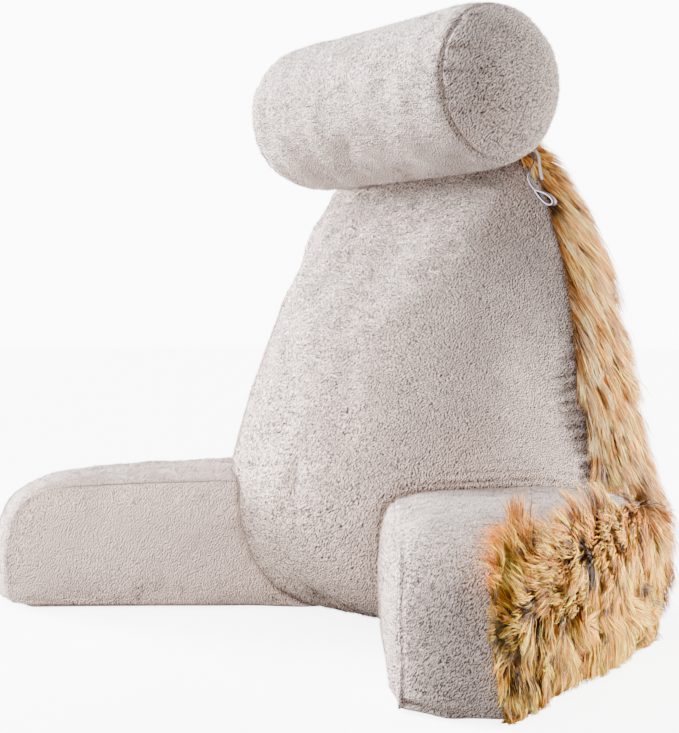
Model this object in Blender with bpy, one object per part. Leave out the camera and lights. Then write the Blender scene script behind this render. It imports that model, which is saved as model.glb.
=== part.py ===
"""Reading pillow with arms: filled backrest, two arms, long-pile coat, neck roll and strap loop.

Metres, +Z up, the sitter faces -Y and the sitter's left arm is on +X.  The origin is the middle of
the footprint on the floor.  Every panel piece is a filled cushion: a front panel, a side strip and
a back panel meet at two drawn-in seams, and all the rings between them are made by one function.
"""
import math

import bmesh
import bpy
import numpy as np
from mathutils import Vector, noise

COLLECTION = "reading_pillow_with_arms"

# ---- placing ---------------------------------------------------------------------------------
SHIFT_Y = 0.053            # moves the finished pieces so the footprint's middle is the origin
GAP = 0.0005               # clearance between neighbouring pieces

# ---- backrest --------------------------------------------------------------------------------
BODY_COUNT = 56            # points round each sewn loop of the body
BODY_MID = (0.0, 0.27)     # x, z of the panels' middles
# half outline of the body, from the middle of the base up to the middle of the top:
# front seam x, y, z and back seam x, y, z
BODY_OUTLINE = (
    (0.000, -0.088, 0.006, 0.000, 0.165, 0.006),
    (0.080, -0.084, 0.006, 0.100, 0.163, 0.006),
    (0.150, -0.058, 0.008, 0.190, 0.156, 0.008),
    (0.205, -0.020, 0.022, 0.245, 0.150, 0.026),
    (0.240, 0.012, 0.052, 0.275, 0.144, 0.062),
    (0.264, 0.035, 0.100, 0.284, 0.134, 0.110),
    (0.278, 0.045, 0.145, 0.281, 0.122, 0.160),
    (0.278, 0.046, 0.180, 0.272, 0.116, 0.205),
    (0.271, 0.043, 0.220, 0.263, 0.113, 0.240),
    (0.262, 0.039, 0.269, 0.251, 0.112, 0.285),
    (0.252, 0.038, 0.313, 0.239, 0.113, 0.325),
    (0.238, 0.042, 0.390, 0.215, 0.117, 0.392),
    (0.222, 0.046, 0.449, 0.194, 0.119, 0.450),
    (0.196, 0.052, 0.510, 0.166, 0.118, 0.508),
    (0.169, 0.063, 0.552, 0.138, 0.116, 0.548),
    (0.132, 0.069, 0.576, 0.106, 0.114, 0.570),
    (0.075, 0.073, 0.588, 0.060, 0.113, 0.581),
    (0.000, 0.075, 0.592, 0.000, 0.113, 0.585),
)
# height, the front seam's lean, the front panel's crown, the back seam's lean, the back's crown
BODY_CROWN = (
    (0.00, 0.020, 0.160, 0.150, 0.050),
    (0.05, 0.035, 0.188, 0.144, 0.074),
    (0.10, 0.044, 0.218, 0.136, 0.088),
    (0.16, 0.046, 0.236, 0.122, 0.090),
    (0.22, 0.043, 0.214, 0.114, 0.088),
    (0.27, 0.039, 0.188, 0.112, 0.084),
    (0.31, 0.038, 0.166, 0.113, 0.078),
    (0.39, 0.042, 0.125, 0.117, 0.064),
    (0.45, 0.046, 0.092, 0.119, 0.050),
    (0.56, 0.064, 0.045, 0.115, 0.024),
    (0.60, 0.075, 0.020, 0.113, 0.012),
)
BODY_STRIP_BULGE = 0.018   # how far the side strip swells between its seams
BODY_PANEL_RINGS = (0.20, 0.40, 0.58, 0.74, 0.86, 0.94, 0.985)
BODY_BACK_RINGS = (0.97, 0.88, 0.72, 0.50, 0.26)
BODY_STRIP_RINGS = (0.08, 0.28, 0.50, 0.72, 0.92)

# ---- arms ------------------------------------------------------------------------------------
ARM_COUNT = 38             # points round each sewn loop of an arm
ARM_MID = (0.55, 0.085)
# arm outline seen from the side: share of the length (root to front), height
ARM_OUTLINE = (
    (0.00, 0.006),
    (0.25, 0.005),
    (0.50, 0.005),
    (0.75, 0.005),
    (0.95, 0.005),
    (0.990, 0.012),
    (1.000, 0.045),
    (0.998, 0.084),
    (0.982, 0.115),
    (0.943, 0.139),
    (0.875, 0.152),
    (0.75, 0.157),
    (0.50, 0.161),
    (0.25, 0.161),
    (0.02, 0.158),
    (-0.02, 0.120),
    (-0.02, 0.050),
)
# plan of the arm: share of the length, inner seam x, y, outer seam x, y
ARM_PLAN = (
    (0.00, 0.056, -0.068, 0.338, 0.062),
    (0.50, 0.193, -0.208, 0.396, -0.135),
    (1.00, 0.329, -0.347, 0.428, -0.322),
)
ARM_INNER_CROWN = 0.018
ARM_OUTER_CROWN = 0.010
ARM_STRIP_BULGE = 0.017
ARM_ROOT_BULGE = 0.004     # the root swells back against the body's front
ARM_PANEL_RINGS = (0.35, 0.65, 0.86, 0.97)
ARM_STRIP_RINGS = (0.09, 0.32, 0.68, 0.91)

# ---- neck roll -------------------------------------------------------------------------------
ROLL_RADIUS = 0.095
ROLL_LENGTH = 0.374        # seam to seam
ROLL_HEIGHT = 0.642        # of its axis
ROLL_TURN = math.radians(-6.7)
ROLL_SEAM_RADIUS = 0.0912
ROLL_END_CROWN = 0.030
ROLL_END_RINGS = (0.40, 0.68, 0.87, 0.96, 0.992)
ROLL_COUNT = 36
ROLL_BED = 0.0020          # clearance between the roll and the bed it presses into the body
# distance in from the end seam, radius
ROLL_BARREL = (
    (0.000, 0.0872),
    (0.004, 0.0918),
    (0.016, 0.0945),
    (0.060, 0.0952),
    (0.125, 0.0948),
)

# ---- long-pile coat --------------------------------------------------------------------------
COAT_DEPTH = 0.030         # pile over the body
ARM_COAT_DEPTH = 0.021
COAT_RIM = 0.006           # pile at a sewn rim
COAT_GROWTH = (0.34, 0.66, 0.92)   # share of the pile on the first rows behind the front seam
COAT_ABOVE_ARM = 0.190     # below this the arm's root covers the coat's front rows
COAT_BEHIND_ARM = 3        # how many rows it covers
COAT_UNDER_ROLL = 0.008    # pile pressed flat under the roll
COAT_TOP_THIN = 0.40       # share of the pile lost towards the top seam
LOCK_LENGTH = 0.009        # how far the rim's locks stand out
LUMP = 0.0060

# ---- strap loop ------------------------------------------------------------------------------
STRAP_WIDTH = 0.008
STRAP_THICK = 0.0014
STRAP_FACING = math.radians(-90)   # the way the loop's hole faces, from +X
STRAP_STITCH = (0.1982, -0.0314, 0.5205)   # across, out, height of the stitch closing the loop
STRAP_LOOP_LENGTH = 0.034
STRAP_LOOP_HALF = 0.0074
STRAP_LOOP_DROP = math.radians(34)   # the loop hangs this far off level
STRAP_LOOP_COUNT = 20
STRAP_LOOP_START = 0.75
# the strap from the stitch up to the roll's end seam: across, out, height, turn of its width
STRAP_RUN = (
    (0.1935, -0.0290, 0.5278, 0.0),
    (0.1900, -0.0275, 0.5366, 20.0),
    (0.1915, -0.0300, 0.5460, 42.0),
    (0.1925, -0.0345, 0.5565, 66.0),
    (0.1870, -0.0368, 0.5685, 83.0),
)


def clear_scene():
    for item in list(bpy.data.objects):
        bpy.data.objects.remove(item, do_unlink=True)


def plain_material(name, colour, rough):
    mat = bpy.data.materials.new(name)
    mat.use_nodes = True
    shader = mat.node_tree.nodes["Principled BSDF"]
    shader.inputs["Base Color"].default_value = (*colour, 1.0)
    shader.inputs["Roughness"].default_value = rough
    return mat


def table_at(rows, at):
    """Columns of a table at one value of its first column, eased from row to row."""
    rows = np.array(rows, float)
    spots = at + np.array([-0.03, -0.015, 0.0, 0.015, 0.03])
    return [np.interp(spots, rows[:, 0], rows[:, k]).mean() for k in range(1, rows.shape[1])]


def spline(points, count, closed):
    """Even points on the smooth curve through the rows (Catmull-Rom)."""
    pts = np.array(points, float)
    if closed:
        ring = np.vstack([pts[-1], pts, pts[0], pts[1]])
    else:
        ring = np.vstack([2 * pts[0] - pts[1], pts, 2 * pts[-1] - pts[-2]])
    fine = []
    for k in range(1, len(ring) - 2):
        before, here, there, after = ring[k - 1:k + 3]
        for t in np.arange(0, 1, 0.05):
            fine.append(0.5 * (2 * here + (there - before) * t
                               + (2 * before - 5 * here + 4 * there - after) * t ** 2
                               + (3 * here - before - 3 * there + after) * t ** 3))
    fine.append(ring[-2])
    fine = np.array(fine)
    steps = np.linalg.norm(np.diff(fine[:, :3], axis=0), axis=1)
    run = np.concatenate([[0], np.cumsum(steps)])
    wanted = np.linspace(0, run[-1], count, endpoint=not closed)
    return np.stack([np.interp(wanted, run, fine[:, k]) for k in range(fine.shape[1])], 1)


def swell(share):
    """0 at the middle's crown, falling steeply to the seam."""
    return (1 - np.abs(share) ** 2.4) ** 0.62


def make_object(name, verts, faces, material):
    mesh = bpy.data.meshes.new(name)
    mesh.from_pydata([tuple(v) for v in verts], [], [tuple(f) for f in faces])
    mesh.validate()
    work = bmesh.new()
    work.from_mesh(mesh)
    bmesh.ops.recalc_face_normals(work, faces=work.faces[:])
    if work.calc_volume(signed=True) < 0:
        bmesh.ops.reverse_faces(work, faces=work.faces[:])
    work.to_mesh(mesh)
    work.free()
    for face in mesh.polygons:
        face.use_smooth = True
    mesh.materials.append(material)
    thing = bpy.data.objects.new(name, mesh)
    bpy.data.collections[COLLECTION].objects.link(thing)
    return thing


def loft(rings, first_pole, last_pole):
    """Vertices and faces of a closed body from rings between two poles."""
    count = len(rings[0])
    verts = [first_pole] + [v for ring in rings for v in ring] + [last_pole]
    faces = []
    last = len(verts) - 1
    for k in range(count):
        n = (k + 1) % count
        faces.append((0, 1 + k, 1 + n))
        top = 1 + (len(rings) - 1) * count
        faces.append((last, top + n, top + k))
        for r in range(len(rings) - 1):
            a, b = 1 + r * count, 1 + (r + 1) * count
            faces.append((a + k, b + k, b + n))
            faces.append((a + k, b + n, a + n))
    return np.array(verts), faces


# ---- backrest --------------------------------------------------------------------------------
def body_loops():
    right = spline(BODY_OUTLINE, BODY_COUNT // 2 + 1, False)
    left = right[-2:0:-1] * np.array([-1, 1, 1, -1, 1, 1])
    both = np.vstack([right, left])
    return both[:, :3], both[:, 3:]


def body_panel_point(seam, share, front):
    mid_x, mid_z = BODY_MID
    x = mid_x + (seam[0] - mid_x) * share
    z = mid_z + (seam[2] - mid_z) * share
    front_lean, front_crown, back_lean, back_crown = table_at(BODY_CROWN, z)
    lean = front_lean if front else back_lean
    y = (1 - share ** 2) * lean + share ** 2 * seam[1]
    y += -front_crown * swell(share) if front else back_crown * swell(share)
    return np.array([x, y, z])


def body_strip_point(front_seam, back_seam, share):
    point = front_seam * (1 - share) + back_seam * share
    rise = swell(2 * share - 1)
    if point[2] < 0.0095:
        point[2] *= 1 - min(1.0, 1.6 * rise)
        return point
    out = np.array([point[0] - BODY_MID[0], 0.0, (point[2] - 0.20) * 0.8])
    out /= np.linalg.norm(out)
    ease = min(1.0, (point[2] - 0.0095) / 0.05)
    point = point + out * BODY_STRIP_BULGE * rise * (0.35 + 0.65 * ease) * (0.5 + 0.5 * share) * 1.2
    point[2] = max(point[2], 0.0)
    return point


def roll_axis():
    return np.array([math.cos(ROLL_TURN), math.sin(ROLL_TURN), 0.0])


def clear_of_roll(point, spare):
    """Presses a point out of the neck roll, which beds into the top of the body."""
    axis = roll_axis()
    from_axis = point - np.array([0.0, 0.0, ROLL_HEIGHT])
    along = from_axis @ axis
    radial = from_axis - along * axis
    distance = np.linalg.norm(radial)
    wanted = ROLL_RADIUS + spare
    if abs(along) < ROLL_LENGTH / 2 + 0.02 and distance < wanted:
        point = point + radial / distance * (wanted - distance)
    return point


def body_rings():
    front_seam, back_seam = body_loops()
    rings = [[body_panel_point(s, share, True) for s in front_seam] for share in BODY_PANEL_RINGS]
    rings.append(list(front_seam))
    for share in BODY_STRIP_RINGS:
        rings.append([body_strip_point(a, b, share) for a, b in zip(front_seam, back_seam)])
    rings.append(list(back_seam))
    rings += [[body_panel_point(s, share, False) for s in back_seam] for share in BODY_BACK_RINGS]
    coated = len(BODY_PANEL_RINGS) + 1
    for k, ring in enumerate(rings):
        spare = ROLL_BED + (COAT_UNDER_ROLL if k >= coated else 0.0)
        rings[k] = np.array([clear_of_roll(p, spare) for p in ring])
    middle = np.array([BODY_MID[0], 0.0, BODY_MID[1]])
    front_pole = body_panel_point(middle, 0.0, True)
    back_pole = body_panel_point(middle, 0.0, False)
    return rings, front_pole, back_pole


def build_backrest(material):
    rings, front_pole, back_pole = body_rings()
    verts, faces = loft(rings, front_pole, back_pole)
    verts[:, 2] = np.maximum(verts[:, 2], 0.0)
    return make_object("backrest", verts, faces, material)


# ---- coats -----------------------------------------------------------------------------------
def lumps(point, size, seed):
    at = Vector(point) / size + Vector((seed, 0.37 * seed, 0.0))
    return noise.noise(at)


def build_coat(name, base, chosen, rim_dir, depth, growth, seed, material):
    """A lumpy slab over some faces of a filled piece, closed at its rim, with locks there."""
    mesh = base.data
    normals = np.array([v.normal for v in mesh.vertices])
    points = np.array([v.co for v in mesh.vertices])
    faces = [tuple(p.vertices) for p in mesh.polygons if chosen(p)]
    used = sorted({v for f in faces for v in f})
    new = {v: k for k, v in enumerate(used)}
    edges = {}
    for f in faces:
        for k in range(len(f)):
            pair = (f[k], f[(k + 1) % len(f)])
            edges[tuple(sorted(pair))] = edges.get(tuple(sorted(pair)), []) + [pair]
    rim_edges = [v[0] for v in edges.values() if len(v) == 1]
    rim = {v for e in rim_edges for v in e}
    near = {v for f in faces if any(k in rim for k in f) for v in f} - rim
    inner, outer = [], []
    for v in used:
        n = normals[v]
        p = points[v]
        if v in rim:
            n = rim_dir(p, n)
            pile = COAT_RIM + LOCK_LENGTH * max(0.0, lumps(p, 0.011, seed + 7)) * 1.6
        else:
            share, rough = growth(v)
            pile = depth * (0.78 if v in near else 1.0) * share
            pile *= 1 - COAT_TOP_THIN * np.clip((p[2] - 0.42) / 0.15, 0, 1)
            pile += rough * LUMP * (lumps(p, 0.05, seed) + 0.6 * lumps(p, 0.022, seed + 3))
        low = p + n * GAP * (1.6 if v in rim else 1.0)
        high = p + n * max(pile, 0.005)
        if p[2] < 0.012 and v in rim:
            low[2] = high[2] = 0.0
        high = clear_of_roll(high, ROLL_BED)
        inner.append(low)
        outer.append([high[0], high[1], max(high[2], 0.0)])
    count = len(used)
    verts = inner + outer
    solid = [tuple(new[v] + count for v in f) for f in faces]
    solid += [tuple(new[v] for v in reversed(f)) for f in faces]
    for a, b in rim_edges:
        solid.append((new[b], new[a], new[a] + count, new[b] + count))
    return make_object(name, np.array(verts), solid, material)


def build_back_fur(backrest, material):
    """Coat over the side strip and the back; the underside of the strip stays bare."""
    first = len(BODY_PANEL_RINGS)
    strip = len(BODY_STRIP_RINGS)

    front_seam, back_seam = body_loops()
    seam_height = np.maximum(front_seam[:, 2], back_seam[:, 2])

    def ring_of(v):
        return (v - 1) // BODY_COUNT

    def chosen(face):
        rings = [ring_of(v) for v in face.vertices]
        if min(rings) < first:
            return False
        if max(rings) <= first + strip + 1:
            heights = [seam_height[(v - 1) % BODY_COUNT] for v in face.vertices]
            if max(heights) < COAT_ABOVE_ARM and min(rings) < first + COAT_BEHIND_ARM:
                return False
            return max(heights) > 0.0115
        return True

    def rim_dir(p, n):
        if p[2] < 0.012:
            out = np.array([0.35 * p[0] / 0.25, 1.0 if p[1] > 0.1 else 0.0, 0.0])
            if p[1] <= 0.1:
                out = np.array([math.copysign(1.0, p[0]), 0.15, 0.0])
            return out / np.linalg.norm(out)
        out = np.array([p[0] - BODY_MID[0], 0.0, p[2] - 0.20])
        out = out / np.linalg.norm(out) + np.array([0.0, -0.25, 0.0])
        return out / np.linalg.norm(out)

    def growth(v):
        row = ring_of(v) - first - 1
        middle = row - strip - len(BODY_BACK_RINGS)
        rough = {-1: 0.7, 0: 0.35, 1: 0.2}.get(middle, 1.0)
        return (COAT_GROWTH[row] if 0 <= row < len(COAT_GROWTH) else 1.0), rough

    return build_coat("back_fur", backrest, chosen, rim_dir, COAT_DEPTH, growth, 2.0, material)


# ---- arms ------------------------------------------------------------------------------------
def arm_plan_at(share):
    rows = np.array(ARM_PLAN, float)
    low, mid, high = rows
    t = share
    weights = ((t - 0.5) * (t - 1) / 0.5, t * (t - 1) / -0.25, t * (t - 0.5) / 0.5)
    row = weights[0] * low + weights[1] * mid + weights[2] * high
    return row[1:3], row[3:5]


def arm_point(share, height, across):
    inner, outer = arm_plan_at(share)
    spot = inner * (1 - across) + outer * across
    return np.array([spot[0], spot[1], height])


def arm_side_normal(share):
    inner, outer = arm_plan_at(share)
    ahead, _ = arm_plan_at(share + 0.01)
    run = ahead - inner
    side = np.array([-run[1], run[0], 0.0])
    side /= np.linalg.norm(side)
    if side[:2] @ (outer - inner) < 0:
        side = -side
    return side


def arm_rings(side):
    loop = spline([(s, z) + (0.0,) for s, z in ARM_OUTLINE], ARM_COUNT, True)[:, :2]
    rings = []

    def panel(share, across, crown):
        ring = []
        for s, z in loop:
            s_in = ARM_MID[0] + (s - ARM_MID[0]) * share
            z_in = ARM_MID[1] + (z - ARM_MID[1]) * share
            point = arm_point(s_in, z_in, across)
            out = arm_side_normal(s_in) * (1 if across > 0.5 else -1)
            ring.append(point + out * crown * swell(share))
        return ring

    for share in ARM_PANEL_RINGS:
        rings.append(panel(share, 0.0, ARM_INNER_CROWN))
    rings.append(panel(1.0, 0.0, 0.0))
    middle = arm_point(*ARM_MID, 0.5)
    for across in ARM_STRIP_RINGS:
        ring = []
        for s, z in loop:
            point = arm_point(s, z, across)
            rise = swell(2 * across - 1)
            if z < 0.010 and s < 0.95:
                point[2] = z * (1 - min(1.0, 1.6 * rise))
            else:
                ahead = arm_point(s + 0.02, z, across) - arm_point(s, z, across)
                ahead /= np.linalg.norm(ahead)
                lift = np.array([0.0, 0.0, 1.0])
                front = np.clip((s - 0.80) / 0.20, 0, 1) ** 1.5
                up = np.clip((z - 0.06) / 0.09, 0, 1)
                back = 1.0 if s < 0.0 else 0.0
                push = ahead * front * ARM_STRIP_BULGE + lift * up * ARM_STRIP_BULGE * (1 - 0.35 * front)
                push = push - ahead * back * ARM_ROOT_BULGE
                point = point + push * rise
            ring.append(point)
        rings.append(ring)
    rings.append(panel(1.0, 1.0, 0.0))
    for share in reversed(ARM_PANEL_RINGS):
        rings.append(panel(share, 1.0, ARM_OUTER_CROWN))
    first = arm_point(*ARM_MID, 0.0) - arm_side_normal(ARM_MID[0]) * ARM_INNER_CROWN
    last = arm_point(*ARM_MID, 1.0) + arm_side_normal(ARM_MID[0]) * ARM_OUTER_CROWN
    flip = np.array([side, 1, 1])
    rings = [np.array(ring) * flip for ring in rings]
    return rings, first * flip, last * flip


def grown(thing, spare):
    """A slightly larger copy, used to cut its neighbour clear of it."""
    copy = thing.copy()
    copy.data = thing.data.copy()
    copy.name = thing.name + "_cutter"
    bpy.data.collections[COLLECTION].objects.link(copy)
    points = [(v.co.copy(), v.normal.copy()) for v in copy.data.vertices]
    for v, (at, normal) in zip(copy.data.vertices, points):
        v.co = at + normal * spare
    copy.hide_render = True
    copy.display_type = "WIRE"
    return copy


def keep_largest(work):
    """Drops the crumbs a cut leaves behind."""
    left = set(work.verts)
    groups = []
    while left:
        start = left.pop()
        group, waiting = {start}, [start]
        while waiting:
            for edge in waiting.pop().link_edges:
                for v in edge.verts:
                    if v in left:
                        left.discard(v)
                        group.add(v)
                        waiting.append(v)
        groups.append(group)
    groups.sort(key=len)
    crumbs = [v for group in groups[:-1] for v in group]
    bmesh.ops.delete(work, geom=crumbs, context="VERTS")


def cut(target, cutter):
    step = target.modifiers.new("cut", "BOOLEAN")
    step.operation = "DIFFERENCE"
    step.solver = "EXACT"
    step.object = cutter
    bpy.context.view_layer.update()
    graph = bpy.context.evaluated_depsgraph_get()
    mesh = bpy.data.meshes.new_from_object(target.evaluated_get(graph))
    target.modifiers.remove(step)
    old = target.data
    target.data = mesh
    bpy.data.meshes.remove(old)
    work = bmesh.new()
    work.from_mesh(mesh)
    bmesh.ops.remove_doubles(work, verts=work.verts[:], dist=0.0001)
    bmesh.ops.dissolve_degenerate(work, edges=work.edges[:], dist=0.0001)
    bmesh.ops.triangulate(work, faces=[f for f in work.faces if len(f.verts) > 4])
    keep_largest(work)
    work.to_mesh(mesh)
    work.free()
    mesh.name = target.name
    bpy.data.objects.remove(cutter, do_unlink=True)


def build_arm(name, side, material):
    rings, first, last = arm_rings(side)
    verts, faces = loft(rings, first, last)
    verts[:, 2] = np.maximum(verts[:, 2], 0.0)
    return make_object(name, verts, faces, material)


def build_arm_fur(name, arm, seed, material):
    first = len(ARM_PANEL_RINGS) + 1 + len(ARM_STRIP_RINGS)

    def chosen(face):
        return min((v - 1) // ARM_COUNT for v in face.vertices) >= first

    def rim_dir(p, n):
        out = np.array([n[0], n[1], 0.0 if p[2] < 0.012 else n[2]])
        side = np.array([math.copysign(1.0, p[0]), 0.0, 0.0])
        out = side * 1.0 + 0.5 * out
        return out / np.linalg.norm(out)

    def growth(v):
        row = (v - 1) // ARM_COUNT - first - len(ARM_PANEL_RINGS)
        return 1.0, {0: 0.35, 1: 0.2}.get(row, 1.0)

    return build_coat(name, arm, chosen, rim_dir, ARM_COAT_DEPTH, growth, seed, material)


# ---- neck roll -------------------------------------------------------------------------------
def build_neck_roll(material):
    half = ROLL_LENGTH / 2
    stations = []
    for share in ROLL_END_RINGS:
        out = ROLL_END_CROWN * (1 - share ** 3) ** 0.55
        stations.append((-half - out, ROLL_SEAM_RADIUS * share))
    for inward, radius in ROLL_BARREL:
        stations.append((-half + inward, radius))
    stations += [(-x, r) for x, r in reversed(stations)]
    rings = []
    for along, radius in stations:
        ring = []
        for k in range(ROLL_COUNT):
            turn = 2 * math.pi * k / ROLL_COUNT
            ring.append((along, radius * math.cos(turn), radius * math.sin(turn)))
        rings.append(np.array(ring))
    tip = half + ROLL_END_CROWN
    verts, faces = loft(rings, np.array([-tip, 0.0, 0.0]), np.array([tip, 0.0, 0.0]))
    axis = roll_axis()
    across = np.array([-axis[1], axis[0], 0.0])
    placed = [v[0] * axis + v[1] * across + np.array([0, 0, v[2] + ROLL_HEIGHT]) for v in verts]
    return make_object("neck_roll", np.array(placed), faces, material)


# ---- strap loop ------------------------------------------------------------------------------
def build_strap(material):
    """A flat ribbon: a stitched teardrop loop, and the strap that runs from it to the roll."""
    out = np.array([math.cos(STRAP_FACING), math.sin(STRAP_FACING), 0.0])
    side = np.array([-out[1], out[0], 0.0])
    lift = np.array([0.0, 0.0, 1.0])

    def spot(across, away, height):
        return side * across + out * away + lift * height

    stitch = spot(*STRAP_STITCH)
    down = math.cos(STRAP_LOOP_DROP) * side - math.sin(STRAP_LOOP_DROP) * lift
    over = math.sin(STRAP_LOOP_DROP) * side + math.cos(STRAP_LOOP_DROP) * lift

    def loop_at(turn):
        along = STRAP_LOOP_LENGTH * (1 - math.cos(turn)) / 2
        across = STRAP_LOOP_HALF * math.sin(turn) * math.sin(turn / 2) ** 1.2
        return stitch + down * along + over * across

    verts, faces = [], []
    turns = np.linspace(STRAP_LOOP_START, 2 * math.pi - STRAP_LOOP_START, STRAP_LOOP_COUNT)
    for turn in turns:
        here = loop_at(turn)
        run = loop_at(turn + 0.01) - loop_at(turn - 0.01)
        run /= np.linalg.norm(run)
        away = np.cross(out, run)
        for a, b in ((-1, -1), (-1, 1), (1, 1), (1, -1)):
            verts.append(here + away * a * STRAP_THICK / 2 + out * b * STRAP_WIDTH / 2)
    last = 4 * (STRAP_LOOP_COUNT - 1)
    outer = (0, 1) if (verts[0] - verts[3]) @ over > 0 else (3, 2)
    for k in range(STRAP_LOOP_COUNT):
        n = (k + 1) % STRAP_LOOP_COUNT
        for j in range(4):
            if k == STRAP_LOOP_COUNT - 1 and {j, (j + 1) % 4} == set(outer):
                continue
            i = (j + 1) % 4
            faces.append((4 * k + j, 4 * k + i, 4 * n + i, 4 * n + j))
    low, high = outer
    ring = [last + low, last + high, high, low]
    before = stitch
    for across, away, height, turn in STRAP_RUN:
        here = spot(across, away, height)
        run = here - before
        run /= np.linalg.norm(run)
        before = here
        turn = math.radians(turn)
        width = math.cos(turn) * out + math.sin(turn) * side
        width -= run * (run @ width)
        width /= np.linalg.norm(width)
        thick = np.cross(run, width)
        base = len(verts)
        for a, b in ((-1, -1), (-1, 1), (1, 1), (1, -1)):
            verts.append(here + thick * a * STRAP_THICK * 0.8 + width * b * STRAP_WIDTH / 2)
        new = [base, base + 1, base + 2, base + 3]
        for j in range(4):
            i = (j + 1) % 4
            faces.append((ring[j], ring[i], new[i], new[j]))
        ring = new
    faces.append(tuple(ring))
    return make_object("strap_loop", np.array(verts), faces, material)


def main():
    clear_scene()
    old = bpy.data.collections.get(COLLECTION)
    if old is None:
        old = bpy.data.collections.new(COLLECTION)
        bpy.context.scene.collection.children.link(old)
    plush = plain_material("short_plush", (0.55, 0.50, 0.46), 0.95)
    arm_plush = plain_material("arm_plush", (0.52, 0.47, 0.43), 0.95)
    roll_plush = plain_material("roll_plush", (0.58, 0.53, 0.49), 0.95)
    fur = plain_material("long_fur", (0.62, 0.40, 0.20), 0.9)
    arm_fur = plain_material("arm_long_fur", (0.58, 0.36, 0.17), 0.9)
    ribbon = plain_material("ribbon", (0.72, 0.70, 0.74), 0.5)
    backrest = build_backrest(plush)
    build_back_fur(backrest, fur)
    build_neck_roll(roll_plush)
    build_strap(ribbon)
    for name, side, seed in (("arm_left", 1, 11.0), ("arm_right", -1, 23.0)):
        arm = build_arm(name, side, arm_plush)
        build_arm_fur(name + "_fur", arm, seed, arm_fur)
        cut(arm, grown(backrest, GAP))
    for thing in bpy.data.collections[COLLECTION].objects:
        for v in thing.data.vertices:
            v.co.y += SHIFT_Y


main()
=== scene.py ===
import math

import bmesh
import bpy
import numpy as np
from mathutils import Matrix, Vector, noise
from mathutils.bvhtree import BVHTree
from mathutils.kdtree import KDTree


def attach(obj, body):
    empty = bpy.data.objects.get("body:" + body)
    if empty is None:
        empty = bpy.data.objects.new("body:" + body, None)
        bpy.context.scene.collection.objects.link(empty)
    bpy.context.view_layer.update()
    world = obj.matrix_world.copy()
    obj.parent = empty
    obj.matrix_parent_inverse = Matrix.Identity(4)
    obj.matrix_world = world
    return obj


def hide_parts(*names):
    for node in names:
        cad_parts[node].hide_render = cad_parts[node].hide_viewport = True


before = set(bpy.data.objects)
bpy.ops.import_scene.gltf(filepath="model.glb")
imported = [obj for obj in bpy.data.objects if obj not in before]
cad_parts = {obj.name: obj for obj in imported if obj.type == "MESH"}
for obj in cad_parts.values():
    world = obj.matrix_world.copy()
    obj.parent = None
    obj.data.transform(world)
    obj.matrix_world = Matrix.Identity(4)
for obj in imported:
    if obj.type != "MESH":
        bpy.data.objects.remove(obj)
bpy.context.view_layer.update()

# ---- sizes shared with the solids, in metres --------------------------------------------------
SHIFT_Y = 0.053            # the solids' own shift to the footprint's middle
BODY_MID = (0.0, 0.27)
# front seam x, y, z and back seam x, y, z, from the middle of the base up to the middle of the top
BODY_OUTLINE = (
    (0.000, -0.088, 0.006, 0.000, 0.165, 0.006),
    (0.080, -0.084, 0.006, 0.100, 0.163, 0.006),
    (0.150, -0.058, 0.008, 0.190, 0.156, 0.008),
    (0.205, -0.020, 0.022, 0.245, 0.150, 0.026),
    (0.240, 0.012, 0.052, 0.275, 0.144, 0.062),
    (0.264, 0.035, 0.100, 0.284, 0.134, 0.110),
    (0.278, 0.045, 0.145, 0.281, 0.122, 0.160),
    (0.278, 0.046, 0.180, 0.272, 0.116, 0.205),
    (0.271, 0.043, 0.220, 0.263, 0.113, 0.240),
    (0.262, 0.039, 0.269, 0.251, 0.112, 0.285),
    (0.252, 0.038, 0.313, 0.239, 0.113, 0.325),
    (0.238, 0.042, 0.390, 0.215, 0.117, 0.392),
    (0.222, 0.046, 0.449, 0.194, 0.119, 0.450),
    (0.196, 0.052, 0.510, 0.166, 0.118, 0.508),
    (0.169, 0.063, 0.552, 0.138, 0.116, 0.548),
    (0.132, 0.069, 0.576, 0.106, 0.114, 0.570),
    (0.075, 0.073, 0.588, 0.060, 0.113, 0.581),
    (0.000, 0.075, 0.592, 0.000, 0.113, 0.585),
)
# height, the front seam's lean, the front panel's crown, the back seam's lean, the back's crown
BODY_CROWN = (
    (0.00, 0.020, 0.160, 0.150, 0.050),
    (0.05, 0.035, 0.188, 0.144, 0.074),
    (0.10, 0.044, 0.215, 0.136, 0.088),
    (0.16, 0.046, 0.230, 0.122, 0.090),
    (0.22, 0.043, 0.207, 0.114, 0.088),
    (0.27, 0.039, 0.182, 0.112, 0.084),
    (0.31, 0.038, 0.163, 0.113, 0.078),
    (0.39, 0.042, 0.129, 0.117, 0.064),
    (0.45, 0.046, 0.099, 0.119, 0.050),
    (0.56, 0.064, 0.052, 0.115, 0.024),
    (0.60, 0.075, 0.020, 0.113, 0.012),
)
BODY_STRIP_BULGE = 0.018
ARM_MID = (0.55, 0.085)
# arm outline seen from the side: share of the length (root to front), height
ARM_OUTLINE = (
    (0.00, 0.006), (0.25, 0.005), (0.50, 0.005), (0.75, 0.005), (0.98, 0.005),
    (1.016, 0.012), (1.022, 0.045), (1.019, 0.084), (1.002, 0.114), (0.962, 0.137),
    (0.885, 0.150), (0.75, 0.156), (0.50, 0.160), (0.25, 0.161), (0.02, 0.158),
    (-0.02, 0.120), (-0.02, 0.050),
)
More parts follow.
